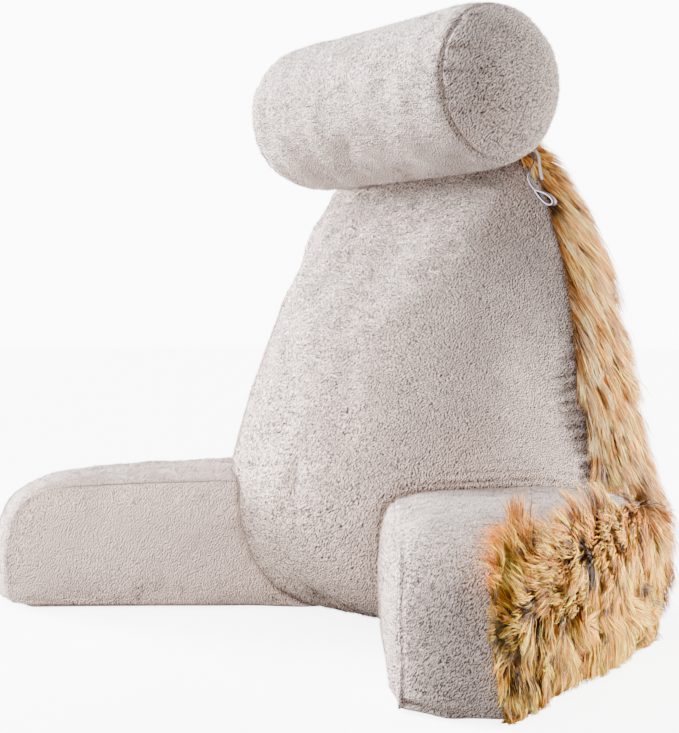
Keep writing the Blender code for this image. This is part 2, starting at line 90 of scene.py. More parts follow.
# plan of the arm: inner seam x, y, outer seam x, y at its root, middle and front
ARM_PLAN = (
    (0.056, -0.068, 0.338, 0.062),
    (0.193, -0.208, 0.396, -0.135),
    (0.329, -0.347, 0.428, -0.322),
)
ARM_INNER_CROWN = 0.015
ARM_OUTER_CROWN = 0.010
ARM_STRIP_BULGE = 0.015
ARM_FRONT_BULGE = 0.009
ARM_ROOT_BULGE = 0.004
ROLL_RADIUS = 0.095
ROLL_LENGTH = 0.374
ROLL_HEIGHT = 0.642
ROLL_TURN = math.radians(-6.7)
ROLL_END_CROWN = 0.040
# distance in from the end seam, radius
ROLL_BARREL = ((0.0, 0.0922), (0.004, 0.0942), (0.014, 0.0966), (0.060, 0.0982), (0.187, 0.0980))

# ---- meshing ----------------------------------------------------------------------------------
BODY_COUNT = 172
ARM_COUNT = 110
ROLL_COUNT = 96
SEED = 7


# ---- helpers: shapes --------------------------------------------------------------------------
def table_at(rows, at):
    """Columns of a table at one value of its first column, eased from row to row."""
    rows = np.array(rows, float)
    spots = at + np.array([-0.03, -0.015, 0.0, 0.015, 0.03])
    return [np.interp(spots, rows[:, 0], rows[:, k]).mean() for k in range(1, rows.shape[1])]


def spline(points, count, closed):
    """Even points on the smooth curve through the rows (Catmull-Rom)."""
    pts = np.array(points, float)
    if closed:
        ring = np.vstack([pts[-1], pts, pts[0], pts[1]])
    else:
        ring = np.vstack([2 * pts[0] - pts[1], pts, 2 * pts[-1] - pts[-2]])
    fine = []
    for k in range(1, len(ring) - 2):
        before, here, there, after = ring[k - 1:k + 3]
        for t in np.arange(0, 1, 0.05):
            fine.append(0.5 * (2 * here + (there - before) * t
                               + (2 * before - 5 * here + 4 * there - after) * t ** 2
                               + (3 * here - before - 3 * there + after) * t ** 3))
    fine.append(ring[-2])
    fine = np.array(fine)
    run = np.concatenate([[0], np.cumsum(np.linalg.norm(np.diff(fine[:, :3], axis=0), axis=1))])
    wanted = np.linspace(0, run[-1], count, endpoint=not closed)
    return np.stack([np.interp(wanted, run, fine[:, k]) for k in range(fine.shape[1])], 1)


def swell(share):
    return (1 - np.minimum(np.abs(share), 1.0) ** 2.4) ** 0.62


def unit(v):
    return v / (np.linalg.norm(v, axis=-1, keepdims=True) + 1e-12)


def ring_mesh(rings, first_pole, last_pole):
    """Vertices and faces of a closed body from rings between two poles."""
    count = len(rings[0])
    verts = np.vstack([[first_pole], np.vstack(rings), [last_pole]])
    last = len(verts) - 1
    top = 1 + (len(rings) - 1) * count
    faces = []
    for k in range(count):
        n = (k + 1) % count
        faces.append((0, 1 + k, 1 + n))
        for r in range(len(rings) - 1):
            a, b = 1 + r * count, 1 + (r + 1) * count
            faces.append((a + k, b + k, b + n, a + n))
        faces.append((last, top + n, top + k))
    return verts, faces


def in_scene(name, data):
    thing = bpy.data.objects.new(name, data)
    bpy.context.scene.collection.objects.link(thing)
    return thing


def dressed(name, mesh, material, nodes):
    """A piece of the visible model, riding on the body and standing for the solid's nodes."""
    mesh.shade_smooth()
    mesh.materials.append(material)
    thing = in_scene(name, mesh)
    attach(thing, "root")
    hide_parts(*nodes)
    return thing


def new_piece(name, verts, faces, material, nodes):
    mesh = bpy.data.meshes.new(name)
    mesh.from_pydata([tuple(v) for v in verts], [], [tuple(f) for f in faces])
    work = bmesh.new()
    work.from_mesh(mesh)
    bmesh.ops.recalc_face_normals(work, faces=work.faces[:])
    if work.calc_volume(signed=True) < 0:
        bmesh.ops.reverse_faces(work, faces=work.faces[:])
    work.to_mesh(mesh)
    work.free()
    return dressed(name, mesh, material, nodes)


def read_vertices(mesh, label):
    flat = np.empty(len(mesh.vertices) * 3, np.float32)
    mesh.vertices.foreach_get(label, flat)
    return flat.reshape(-1, 3).astype(float)


def coords(mesh):
    return read_vertices(mesh, "co")


def normals_of(mesh):
    return read_vertices(mesh, "normal")


def set_coords(mesh, points):
    mesh.vertices.foreach_set("co", np.asarray(points, np.float32).ravel())
    mesh.update()


def painted_shade_marks_of(mesh):
    """Painted shade at each point: along seams and folds where the pile parts, where pieces meet
    and on faces turned from the light, with some plain darker patches.
    """
    dark = np.empty(len(mesh.vertices), np.float32)
    mesh.attributes["seam"].data.foreach_get("value", dark)
    return dark


def set_painted_shade_marks(mesh, dark):
    mesh.attributes["seam"].data.foreach_set("value", dark.astype(np.float32))


def faces_in(mesh, chosen):
    mesh.calc_loop_triangles()
    tri = np.empty(len(mesh.loop_triangles) * 3, np.int32)
    mesh.loop_triangles.foreach_get("vertices", tri)
    tri = tri.reshape(-1, 3)
    return tri[chosen(tri)]


def tree_of(points):
    tree = KDTree(len(points))
    for k, p in enumerate(points):
        tree.insert(Vector(p), k)
    tree.balance()
    return tree


def surface_of(thing):
    return BVHTree.FromObject(thing, bpy.context.evaluated_depsgraph_get())


def noise_at(points, size, seed=0.0):
    """Smooth noise from -1 to 1 at each point."""
    shift = Vector((seed * 3.1, seed * 1.7, seed * 0.9))
    return np.array([noise.noise(Vector(p) / size + shift) for p in points])


def ramp(values, start, length):
    """0 before start, 1 from start + length on; a negative length runs the other way."""
    return np.clip((values - start) / length, 0, 1)


def refine(thing):
    """One round of smooth subdivision, kept as the mesh."""
    step = thing.modifiers.new("smooth", "SUBSURF")
    step.levels = step.render_levels = 1
    bpy.context.view_layer.update()
    graph = bpy.context.evaluated_depsgraph_get()
    mesh = bpy.data.meshes.new_from_object(thing.evaluated_get(graph))
    thing.modifiers.clear()
    old, thing.data = thing.data, mesh
    bpy.data.meshes.remove(old)
    mesh.name = thing.name
    mesh.shade_smooth()


# ---- stuffing ---------------------------------------------------------------------------------
def stuff(thing, pinned, slim, cap, pressure=4.0, frames=20):
    """Fills the sewn cloth: cloth under inside pressure, held at its seams and where it rests."""
    mesh = thing.data
    rest = coords(mesh) - normals_of(mesh) * slim * (1 - pinned)[:, None]
    set_coords(mesh, rest)
    group = thing.vertex_groups.new(name="held")
    group.add([int(i) for i in np.where(pinned >= 1.0)[0]], 1.0, "REPLACE")
    step = thing.modifiers.new("fill", "CLOTH")
    cloth = step.settings
    cloth.quality = 5
    cloth.use_pressure = True
    cloth.uniform_pressure_force = pressure
    cloth.effector_weights.gravity = 0.0
    cloth.vertex_group_mass = "held"
    cloth.shrink_min = -0.015
    step.collision_settings.use_collision = False
    scene = bpy.context.scene
    step.point_cache.frame_start = 1
    step.point_cache.frame_end = frames
    for frame_no in range(1, frames + 1):
        scene.frame_set(frame_no)
    graph = bpy.context.evaluated_depsgraph_get()
    moved = coords(thing.evaluated_get(graph).data)
    scene.frame_set(1)
    thing.modifiers.clear()
    thing.vertex_groups.clear()
    shift = moved - rest
    size = np.linalg.norm(shift, axis=1, keepdims=True)
    shift *= np.minimum(1.0, cap / np.maximum(size, 1e-9))
    points = rest + shift
    points[:, 2] = np.where(rest[:, 2] < 0.002, rest[:, 2], np.maximum(points[:, 2], 0.0005))
    set_coords(mesh, points)


def held_rows(kind, verts):
    """1 on the sewn rows and where a cushion rests, 0 elsewhere."""
    sewn = (np.abs(kind - 1.0) < 1e-6) | (np.abs(kind - 2.0) < 1e-6)
    return np.where(sewn | (verts[:, 2] < 0.004), 1.0, 0.0)


# ---- backrest ---------------------------------------------------------------------------------
def body_loops():
    right = spline(BODY_OUTLINE, BODY_COUNT // 2 + 1, False)
    left = right[-2:0:-1] * np.array([-1, 1, 1, -1, 1, 1])
    both = np.vstack([right, left])
    return both[:, :3], both[:, 3:]


def body_panel_point(seam, share, front):
    mid_x, mid_z = BODY_MID
    x = mid_x + (seam[0] - mid_x) * share
    z = mid_z + (seam[2] - mid_z) * share
    front_lean, front_crown, back_lean, back_crown = table_at(BODY_CROWN, z)
    lean = front_lean if front else back_lean
    y = (1 - share ** 2) * lean + share ** 2 * seam[1]
    y += -front_crown * swell(share) if front else back_crown * swell(share)
    return np.array([x, y, z])


def body_strip_point(front_seam, back_seam, share):
    point = front_seam * (1 - share) + back_seam * share
    rise = swell(2 * share - 1)
    if point[2] < 0.0095:
        point[2] *= 1 - min(1.0, 1.6 * rise)
        return point
    out = np.array([point[0] - BODY_MID[0], 0.0, (point[2] - 0.20) * 0.8])
    out /= np.linalg.norm(out)
    ease = min(1.0, (point[2] - 0.0095) / 0.05)
    point = point + out * BODY_STRIP_BULGE * rise * (0.35 + 0.65 * ease) * (0.5 + 0.5 * share) * 1.2
    point[2] = max(point[2], 0.0)
    return point


def roll_axis():
    return np.array([math.cos(ROLL_TURN), math.sin(ROLL_TURN), 0.0])


def clear_of_roll(points, spare, shift_y=0.0):
    """Presses points out of the neck roll, which beds into the top of the body."""
    points = np.atleast_2d(points).astype(float)
    axis = roll_axis()
    from_axis = points - np.array([0.0, shift_y, ROLL_HEIGHT])
    along = from_axis @ axis
    radial = from_axis - along[:, None] * axis
    distance = np.linalg.norm(radial, axis=1)
    wanted = ROLL_RADIUS + spare
    hit = (np.abs(along) < ROLL_LENGTH / 2 + 0.02) & (distance < wanted)
    points[hit] += (radial / distance[:, None] * (wanted - distance)[:, None])[hit]
    return points


def seam_shares(count, tight):
    """Shares from 0 to 1 that crowd towards the seam at 1."""
    t = np.linspace(0, 1, count + 1)[1:]
    return 1 - (1 - t) ** tight


def build_backrest(material):
    front_seam, back_seam = body_loops()
    panel = seam_shares(24, 1.7)[:-1]
    strip = 0.5 - 0.5 * np.cos(np.linspace(0, math.pi, 15))[1:-1]
    rows = [(share, [body_panel_point(s, share, True) for s in front_seam]) for share in panel]
    rows.append((1.0, front_seam))
    rows += [(1.0 + share, [body_strip_point(a, b, share)
                            for a, b in zip(front_seam, back_seam)]) for share in strip]
    rows.append((2.0, back_seam))
    rows += [(3.0 - share, [body_panel_point(s, share, False) for s in back_seam])
             for share in panel[::-1][::2]]
    rings = [clear_of_roll(ring, 0.002 + (0.008 if at > 1.0 else 0.0)) for at, ring in rows]
    middle = np.array([BODY_MID[0], 0.0, BODY_MID[1]])
    verts, faces = ring_mesh(rings, body_panel_point(middle, 0.0, True),
                             body_panel_point(middle, 0.0, False))
    verts[:, 2] = np.maximum(verts[:, 2], 0.0)
    verts[:, 1] += SHIFT_Y
    kind = np.concatenate([[0.0], np.repeat([at for at, _ in rows], BODY_COUNT), [3.0]])
    thing = new_piece("backrest_cushion", verts, faces, material, ["backrest"])
    from_roll = verts - np.array([0.0, SHIFT_Y, ROLL_HEIGHT])
    along = from_roll @ roll_axis()
    radial = np.linalg.norm(from_roll - along[:, None] * roll_axis(), axis=1)
    under_roll = np.where(radial < ROLL_RADIUS + 0.014, 1.0, 0.0)
    stuff(thing, np.maximum(held_rows(kind, verts), under_roll), 0.006, 0.007)
    return thing, kind


def seam_pinch(points, normals, seam, depth, width, pucker, reach, pitch, line, seed):
    """Draws the cloth in along a sewn line, with small gathers that die away from it, and paints
    shade along the line and in the gathers' hollows.
    """
    tree = tree_of(seam)
    run = np.concatenate([[0], np.cumsum(np.linalg.norm(np.diff(seam, axis=0), axis=1))])
    out, dark = points.copy(), np.zeros(len(points))
    for k, p in enumerate(points):
        _, near, far = tree.find(Vector(p))
        if far > 3 * reach:
            continue
        at = run[near] / pitch
        wave = math.sin(2 * math.pi * at + 2.5 * noise.noise(Vector((at * 0.4, seed, 0.3))))
        strength = max(0.0, 0.45 + 0.9 * noise.noise(Vector((at * 0.23, seed, 4.0))))
        drop = depth * math.exp(-(far / width) ** 2)
        ripple = pucker * strength * wave * math.exp(-(far / reach) ** 1.5)
        ripple *= 1 - math.exp(-(far / width) ** 2)
        out[k] = p + normals[k] * (ripple - drop)
        # painted shade: a dark line along the seam's groove, and more in each gather's hollow
        dark[k] = line * math.exp(-(far / (0.85 * width)) ** 2)
        valley = max(0.0, -wave) * strength * math.exp(-(far / reach) ** 1.5)
        dark[k] = max(dark[k], min(0.9, 140 * pucker * valley))
    return out, dark


def densify(loop):
    """Three more points between each two of a closed loop."""
    loop = np.vstack([loop, loop[:1]])
    parts = [loop[:-1] + (loop[1:] - loop[:-1]) * t for t in (0.0, 0.25, 0.5, 0.75)]
    return np.stack(parts, 1).reshape(-1, loop.shape[1])


# ---- arms -------------------------------------------------------------------------------------
def arm_plan_at(share):
    low, mid, high = np.array(ARM_PLAN, float)
    t = share
    row = (t - 0.5) * (t - 1) / 0.5 * low + t * (t - 1) / -0.25 * mid + t * (t - 0.5) / 0.5 * high
    return row[:2], row[2:]


def arm_point(share, height, across):
    inner, outer = arm_plan_at(share)
    spot = inner * (1 - across) + outer * across
    return np.array([spot[0], spot[1], height])


def arm_side(share):
    inner, outer = arm_plan_at(share)
    ahead, _ = arm_plan_at(share + 0.01)
    run = ahead - inner
    side = unit(np.array([-run[1], run[0], 0.0]))
    return side if side[:2] @ (outer - inner) > 0 else -side


def arm_rings():
    loop = spline([(s, z, 0.0) for s, z in ARM_OUTLINE], ARM_COUNT, True)[:, :2]

    def panel(share, across, crown):
        ring = []
        for s, z in loop:
            s_in = ARM_MID[0] + (s - ARM_MID[0]) * share
            z_in = ARM_MID[1] + (z - ARM_MID[1]) * share
            out = arm_side(s_in) * (1 if across > 0.5 else -1)
            ring.append(arm_point(s_in, z_in, across) + out * crown * swell(share))
        return np.array(ring)

    def strip_point(s, z, across):
        point = arm_point(s, z, across)
        rise = swell(2 * across - 1)
        if z < 0.010 and s < 0.95:
            point[2] = z * (1 - min(1.0, 1.6 * rise))
            return point
        ahead = unit(arm_point(s + 0.02, z, across) - arm_point(s, z, across))
        front = ramp(s, 0.80, 0.20) ** 1.5
        back = 1.0 if s < 0.0 else 0.0
        push = ahead * (front * ARM_FRONT_BULGE - back * ARM_ROOT_BULGE)
        up = ramp(z, 0.06, 0.09) * ARM_STRIP_BULGE * (1 - 0.35 * front)
        return point + (push + np.array([0, 0, up])) * rise

    shares = seam_shares(12, 1.7)[:-1]
    rows = [(share, panel(share, 0.0, ARM_INNER_CROWN)) for share in shares]
    rows.append((1.0, panel(1.0, 0.0, 0.0)))
    rows += [(1.0 + across, np.array([strip_point(s, z, across) for s, z in loop]))
             for across in (0.5 - 0.5 * np.cos(np.linspace(0, math.pi, 15)))[1:-1]]
    rows.append((2.0, panel(1.0, 1.0, 0.0)))
    rows += [(3.0 - share, panel(share, 1.0, ARM_OUTER_CROWN)) for share in shares[::-1]]
    first = arm_point(*ARM_MID, 0.0) - arm_side(ARM_MID[0]) * ARM_INNER_CROWN
    last = arm_point(*ARM_MID, 1.0) + arm_side(ARM_MID[0]) * ARM_OUTER_CROWN
    kind = np.concatenate([[0.0], np.repeat([at for at, _ in rows], ARM_COUNT), [3.0]])
    return [ring for _, ring in rows], first, last, kind


def build_arms(material):
    rings, first, last, kind = arm_rings()
    verts, faces = ring_mesh(rings, first, last)
    verts[:, 2] = np.maximum(verts[:, 2], 0.0)
    verts[:, 1] += SHIFT_Y
    left = new_piece("arm_left_cushion", verts, faces, material, ["arm_left"])
    stuff(left, held_rows(kind, verts), 0.006, 0.006)
    mirrored = pull_round(coords(left.data) * np.array([-1, 1, 1]))
    right = new_piece("arm_right_cushion", mirrored, [f[::-1] for f in faces], material,
                      ["arm_right"])
    square_foot(left, kind)
    rows = {}
    panel_row = kind[np.abs(kind - PANEL_ROW).argmin()]
    for name, value in (("inner", 1.0), ("panel", panel_row), ("outer", 2.0)):
        rows[name] = np.abs(kind - value) < 1e-6
    near_rows = coords(left.data)
    # the near arm's inner seam runs a little onto its inner side at the front
    onto = ramp(along_arm(verts[rows["inner"]]), 0.82, 0.10)[:, None]
    inner = near_rows[rows["inner"]] * (1 - onto) + near_rows[rows["panel"]] * onto
    near_seams = [inner, near_rows[rows["outer"]]]
    far_seams = [pull_round(verts[rows[n]] * np.array([-1, 1, 1])) for n in ("inner", "outer")]
    return left, right, kind, near_seams, far_seams


PANEL_ROW = 0.945          # the ring on the inner panel that the front seam moves onto
FOOT_HEIGHT = 0.035
SKIRT_HEIGHT = 0.060
FLARE_HEIGHT = 0.12


def square_foot(arm, kind):
    """The near arm's front comes down square to the floor and widens at its outer foot."""
    points = coords(arm.data)
    low = ramp(points[:, 2], FOOT_HEIGHT, -FOOT_HEIGHT)
    skirt = ramp(points[:, 2], SKIRT_HEIGHT, -SKIRT_HEIGHT)
    front = ramp(along_arm(points), 0.80, 0.15)
    outward = np.clip(kind - 1, 0, 1)
    inner, outer = arm_plan_at(1.0)
    run = unit(inner - arm_plan_at(0.9)[0])
    side = unit(outer - inner)
    reach = 0.010 + 0.019 * (1 - outward)
    points[:, :2] += (reach * skirt * front)[:, None] * run
    flare = 0.015 * ramp(points[:, 2], FLARE_HEIGHT, -FLARE_HEIGHT) * front * outward
    points[:, :2] += flare[:, None] * side
    points[:, 2] = np.maximum(points[:, 2] - 0.009 * low * front, 0.0)
    set_coords(arm.data, points)


def along_arm(points):
    """0 at an arm's root, 1 at its front."""
    return np.clip((0.062 + SHIFT_Y - points[:, 1]) / 0.384, 0, 1)


# how far back from its front the far arm is pulled, then forward at its inner and back at its
# outer side
PULL_LENGTH, PULL_INNER, PULL_OUTER = 0.13, 0.011, 0.012


def pull_round(points):
    """The far arm's inner panel is pulled round its front corner, and up onto its top."""
    inner, outer = arm_plan_at(1.0)
    run = unit(inner - arm_plan_at(0.9)[0]) * np.array([-1, 1])
    side = unit(outer - inner) * np.array([-1, 1])
    start = inner * np.array([-1, 1]) + np.array([0, SHIFT_Y])
    ahead = (points[:, :2] - start) @ run
    width = np.clip((points[:, :2] - start - ahead[:, None] * run) @ side
                    / np.linalg.norm(outer - inner), 0, 1)
    near_front = np.clip(1 + ahead / PULL_LENGTH, 0, 1)
    near_front = near_front ** 2 * (3 - 2 * near_front)
    belly = width * (1 - width)
    slide = near_front * (PULL_INNER - (PULL_INNER + PULL_OUTER) * width - 0.016 * belly)
    moved = points.copy()
    moved[:, :2] += slide[:, None] * run
    moved[:, 2] += ramp(points[:, 2], 0.10, 0.05) * (0.003 * (1 - width) - 0.012 * belly)
    return moved


def sew_onto(thing, body, sign, spare):
    """Runs the sewn end of an arm out of the body, along the arm, onto the body's face."""
    tree = surface_of(body)
    points = coords(thing.data)
    run = Vector((0.62 * sign, -0.78, 0.0)).normalized()
    for k, p in enumerate(points):
        spot = Vector(p)
        near, normal, _, far = tree.find_nearest(spot)
        if (spot - near).dot(normal) > spare:
            continue
        hit, _, _, _ = tree.ray_cast(spot + run * 1e-5, run)
        if (spot - near).dot(normal) < 0 and hit is not None:
            spot = hit
            near, normal, _, far = tree.find_nearest(spot)
        points[k] = near + normal * spare
        points[k][2] = max(points[k][2], 0.0)
    set_coords(thing.data, points)


# ---- neck roll --------------------------------------------------------------------------------
SEAM_RADIUS = 0.0914       # the line of stitches, just inside the end's edge


def roll_frame():
    """The roll's middle, its axis and the level direction across it."""
    axis = roll_axis()
    return np.array([0.0, SHIFT_Y, ROLL_HEIGHT]), axis, np.array([-axis[1], axis[0], 0.0])


def roll_end(share):
    """How far an end bulges, from its middle at 0 to its edge at 1."""
    return ROLL_END_CROWN * (1 - share ** 3) ** 0.55


def build_neck_roll(material):
    half = ROLL_LENGTH / 2
    ends = seam_shares(9, 1.8)[:-1]
    stations = [(share, -half - roll_end(share), 0.0912 * share) for share in ends]
    barrel = np.array(ROLL_BARREL)
    inward = np.concatenate([[0.0, 0.0018, 0.004, 0.008, 0.014], np.linspace(0.022, 0.187, 13)])
    stations += [(1.0 if step == 0 else 1.5, -half + step,
                  np.interp(step, barrel[:, 0], barrel[:, 1])) for step in inward]
    stations += [(at, -x, r) for at, x, r in stations[-2::-1]]
    centre, axis, across = roll_frame()
    turns = np.linspace(0, 2 * math.pi, ROLL_COUNT, endpoint=False)
    circle = np.cos(turns)[:, None] * across + np.sin(turns)[:, None] * np.array([0, 0, 1.0])
    rings = [centre + x * axis + r * circle for _, x, r in stations]
    tip = half + ROLL_END_CROWN
    verts, faces = ring_mesh(rings, centre - axis * tip, centre + axis * tip)
    kind = np.concatenate([[0.0], np.repeat([at for at, _, _ in stations], ROLL_COUNT), [0.0]])
    thing = new_piece("neck_roll_cushion", verts, faces, material, ["neck_roll"])
    low = (verts[:, 2] < ROLL_HEIGHT - 0.04) & (np.abs(verts[:, 0]) < 0.16) \
        & (verts[:, 1] > SHIFT_Y)
    stuff(thing, np.where(low | (np.abs(kind - 1.0) < 1e-6), 1.0, 0.0), 0.003, 0.005)
    return thing, [centre + sign * half * axis + SEAM_RADIUS * circle for sign in (-1, 1)]


# where the end's short creases start, as a turn round its seam, and how far in they run
ROLL_TUCKS = ((160.0, 0.036), (178.0, 0.034), (206.0, 0.022), (128.0, 0.018))


def roll_tuck(turn, run):
    """A line on the roll's near end, from its seam straight across."""
    centre, axis, across = roll_frame()
    start = 0.0905 * np.array([math.cos(math.radians(turn)), math.sin(math.radians(turn))])
    points = []
    for step in np.linspace(0.001, run, 14):
        spot = start + np.array([step, -0.10 * step])
        share = min(1.0, np.linalg.norm(spot) / 0.0912)
        points.append(centre + axis * (ROLL_LENGTH / 2 + roll_end(share)) + across * spot[0]
                      + np.array([0, 0, spot[1]]))
    return np.array(points)


# ---- ribbon -----------------------------------------------------------------------------------
RIBBON_WIDTH = 0.0062
LOOP_WIDTH = 0.0082
RIBBON_THICK = 0.0012
RIBBON_STITCH = (0.1982, 0.0314, 0.5205)
RIBBON_LOOP = (0.032, 0.0064, math.radians(34))     # length, half height, how far it drops
# x, y, height and turn of the width, from the stitch up to the roll's end seam
RIBBON_RUN = (
    (0.1982, 0.0314, 0.5205, 0.0),
    (0.1935, 0.0290, 0.5278, 0.0),
    (0.1900, 0.0275, 0.5366, 16.0),
    (0.1915, 0.0300, 0.5460, 32.0),
    (0.1925, 0.0345, 0.5565, 46.0),
    (0.1870, 0.0368, 0.5685, 54.0),
)
# the short spare end that curls beside it
RIBBON_END = (
    (0.1925, 0.0368, 0.5690, 105.0),
    (0.1955, 0.0392, 0.5620, 105.0),
    (0.1963, 0.0400, 0.5530, 105.0),
    (0.1972, 0.0410, 0.5440, 105.0),
    (0.1987, 0.0425, 0.5337, 105.0),
)


def band(path, across, width, thick):
    """A flat closed strip along a path; across holds the direction of its width at each point."""
    run = unit(np.gradient(path, axis=0))
    across = unit(across - run * (across * run).sum(1, keepdims=True))
    up = np.cross(run, across)
    corners = []
    for a, b in ((-1, -1), (-1, 1), (1, 1), (1, -1)):
        corners.append(path + up * a * thick / 2 + across * b * width / 2)
    verts = np.stack(corners, 1).reshape(-1, 3)
    faces = [(0, 1, 2, 3), tuple(len(verts) - k for k in (1, 2, 3, 4))]
    for k in range(len(path) - 1):
        for j in range(4):
            i = (j + 1) % 4
            faces.append((4 * k + j, 4 * k + 4 + j, 4 * k + 4 + i, 4 * k + i))
    return verts, faces


def build_ribbon(material):
    """The stitched loop, the strap from it up to the roll, and its spare end."""
    length, half, drop = RIBBON_LOOP
    turns = np.linspace(0.30, 2 * math.pi - 0.30, 44)
    along = length * (1 - np.cos(turns)) / 2
    over = half * np.sin(turns) * np.sin(turns / 2) ** 1.2
    loop = np.array(RIBBON_STITCH) + np.stack([math.cos(drop) * along + math.sin(drop) * over,
                                               np.zeros(len(turns)),
                                               math.cos(drop) * over - math.sin(drop) * along], 1)
    strips = [(loop, np.repeat([[0.0, -1.0, 0.0]], len(loop), 0), LOOP_WIDTH)]
    for rows, count, width in ((RIBBON_RUN, 26, RIBBON_WIDTH), (RIBBON_END, 22, 0.0032)):
        fine = spline(rows, count, False)
        turn = np.radians(fine[:, 3])
        across = np.stack([np.sin(turn), -np.cos(turn), np.zeros(count)], 1)
        strips.append((fine[:, :3], across, width))
    verts, faces = [], []
    for path, across, width in strips:
        points, sides = band(path + np.array([0, SHIFT_Y, 0]), across, width, RIBBON_THICK)
        start = sum(len(v) for v in verts)
        verts.append(points)
        faces += [tuple(start + i for i in f) for f in sides]
    return new_piece("strap_ribbon", np.vstack(verts), faces, material, ["strap_loop"])


# ---- strands ----------------------------------------------------------------------------------
def scatter(mesh, chosen, count, rng, denser=None):
    """Random roots on the chosen triangles: place, outward direction, a reader of point values."""
    tri = faces_in(mesh, chosen)
    pts, nrm = coords(mesh), normals_of(mesh)
    a, b, c = pts[tri[:, 0]], pts[tri[:, 1]], pts[tri[:, 2]]
    area = np.linalg.norm(np.cross(b - a, c - a), axis=1) / 2
    if denser is not None:
        area = area * denser(tri, (a + b + c) / 3)
    pick = rng.choice(len(tri), size=count, p=area / area.sum())
    u, v = rng.random(count), rng.random(count)
    flip = u + v > 1
    u[flip], v[flip] = 1 - u[flip], 1 - v[flip]
    w = 1 - u - v
    weights = np.stack([w, u, v], 1)[:, :, None]
    roots = (np.stack([pts[tri[pick, k]] for k in range(3)], 1) * weights).sum(1)
    out = unit((np.stack([nrm[tri[pick, k]] for k in range(3)], 1) * weights).sum(1))
    return roots, out, lambda values: (values[tri[pick]] * weights[:, :, 0]).sum(1)


def strand_mesh(name, spines, widths, across, tints, out, soft, material, nodes):
    """Flat tapered strands. spines: strand, step, xyz; the last step is the tip."""
    count, steps, _ = spines.shape
    side = across * widths[:, :, None] / 2
    left = spines[:, :-1] - side[:, :-1]
    right = spines[:, :-1] + side[:, :-1]
    tip = spines[:, -1:]
    per = 2 * (steps - 1) + 1
    verts = np.concatenate([np.stack([left, right], 2).reshape(count, -1, 3), tip], 1)
    base = (np.arange(count) * per)[:, None]
    quads = [base + np.array([[2 * k, 2 * k + 2, 2 * k + 3, 2 * k + 1]])
             for k in range(steps - 2)]
    point = base + np.array([[2 * (steps - 2), per - 1, 2 * (steps - 2) + 1]])
    quads = np.stack(quads, 1).reshape(-1, 4) if quads else np.empty((0, 4), int)
    loops = np.concatenate([quads.ravel(), point.ravel()]).astype(np.int32)
    sizes = np.concatenate([np.full(len(quads), 4), np.full(len(point), 3)]).astype(np.int32)
    starts = np.concatenate([[0], np.cumsum(sizes)[:-1]]).astype(np.int32)
    mesh = bpy.data.meshes.new(name)
    mesh.vertices.add(count * per)
    mesh.loops.add(len(loops))
    mesh.polygons.add(len(sizes))
    mesh.vertices.foreach_set("co", verts.astype(np.float32).ravel())
    mesh.loops.foreach_set("vertex_index", loops)
    mesh.polygons.foreach_set("loop_start", starts)
    mesh.update(calc_edges=True)
    tint = np.ones((count, per, 4), np.float32)
    tint[:, :-1, :3] = np.repeat(tints[:, :-1], 2, axis=1)
    tint[:, -1, :3] = tints[:, -1]
    layer = mesh.color_attributes.new("tint", "FLOAT_COLOR", "POINT")
    layer.data.foreach_set("color", tint.ravel())
    # one cell of the map for each strand
    across_cells = int(math.ceil(math.sqrt(count)))
    cell = np.arange(count)
    cu, cv = (cell % across_cells)[:, None], (cell // across_cells)[:, None]
    along = np.linspace(0.12, 0.88, steps)
    u_in = np.concatenate([np.tile([0.2, 0.8], steps - 1), [0.5]])[None, :]
    v_in = np.concatenate([np.repeat(along[:-1], 2), [along[-1]]])[None, :]
    uv_vert = np.stack([(cu + u_in) / across_cells, (cv + v_in) / across_cells], 2).reshape(-1, 2)
    uv = mesh.uv_layers.new(name="OFBake")
    uv.data.foreach_set("uv", uv_vert[loops].astype(np.float32).ravel())
    # the light falls on a strand much as it falls on the cloth below it
    lean = unit(np.cross(spines[:, 1:] - spines[:, :-1], across[:, :-1]))
    lean = np.concatenate([lean, lean[:, -1:]], 1)
    lean *= np.sign((lean * out[:, None]).sum(2, keepdims=True) + 1e-9)
    shade = unit(out[:, None] * soft + lean * (1 - soft))
    shade = np.concatenate([np.repeat(shade[:, :-1], 2, axis=1), shade[:, -1:]], 1)
    mesh.normals_split_custom_set_from_vertices(shade.reshape(-1, 3))
    return dressed(name, mesh, material, nodes)


# red, green, blue of a lock, how dark its root is (partly its colour, partly painted shade deep
# between the locks), how pale its tip is
GOLD, ORANGE, CREAM, BROWN, GREY = range(5)
COAT_TONES = np.array((
    (0.97, 0.455, 0.062, 0.20, 1.18),
    (0.92, 0.365, 0.038, 0.18, 1.18),
    (0.98, 0.640, 0.160, 0.30, 1.10),
    (0.050, 0.022, 0.009, 0.60, 1.80),
    (0.34, 0.225, 0.105, 0.35, 1.30),
))
# how much faster green and blue fall off than red where a strand is in shade
DEEPEN = np.array([1.0, 1.16, 1.28])
STEPS = np.array([0.0, 0.34, 0.70, 1.0])


def along_surface(lay, out):
    return unit(lay - out * (lay * out).sum(1, keepdims=True))


def lock_set(roots, clump, gather, rng):
    """The strand that leads each lock, each strand's leader, and how near a lock's edge it is."""
    count = len(roots)
    guides = rng.choice(count, size=max(8, count // clump), replace=False)
    tree = tree_of(roots[guides])
    found = [tree.find(Vector(r)) for r in roots]
    near, far = np.array([f[1] for f in found]), np.array([f[2] for f in found])
    return guides, near, np.clip(far / (1.6 * far.mean()), 0, 1), gather


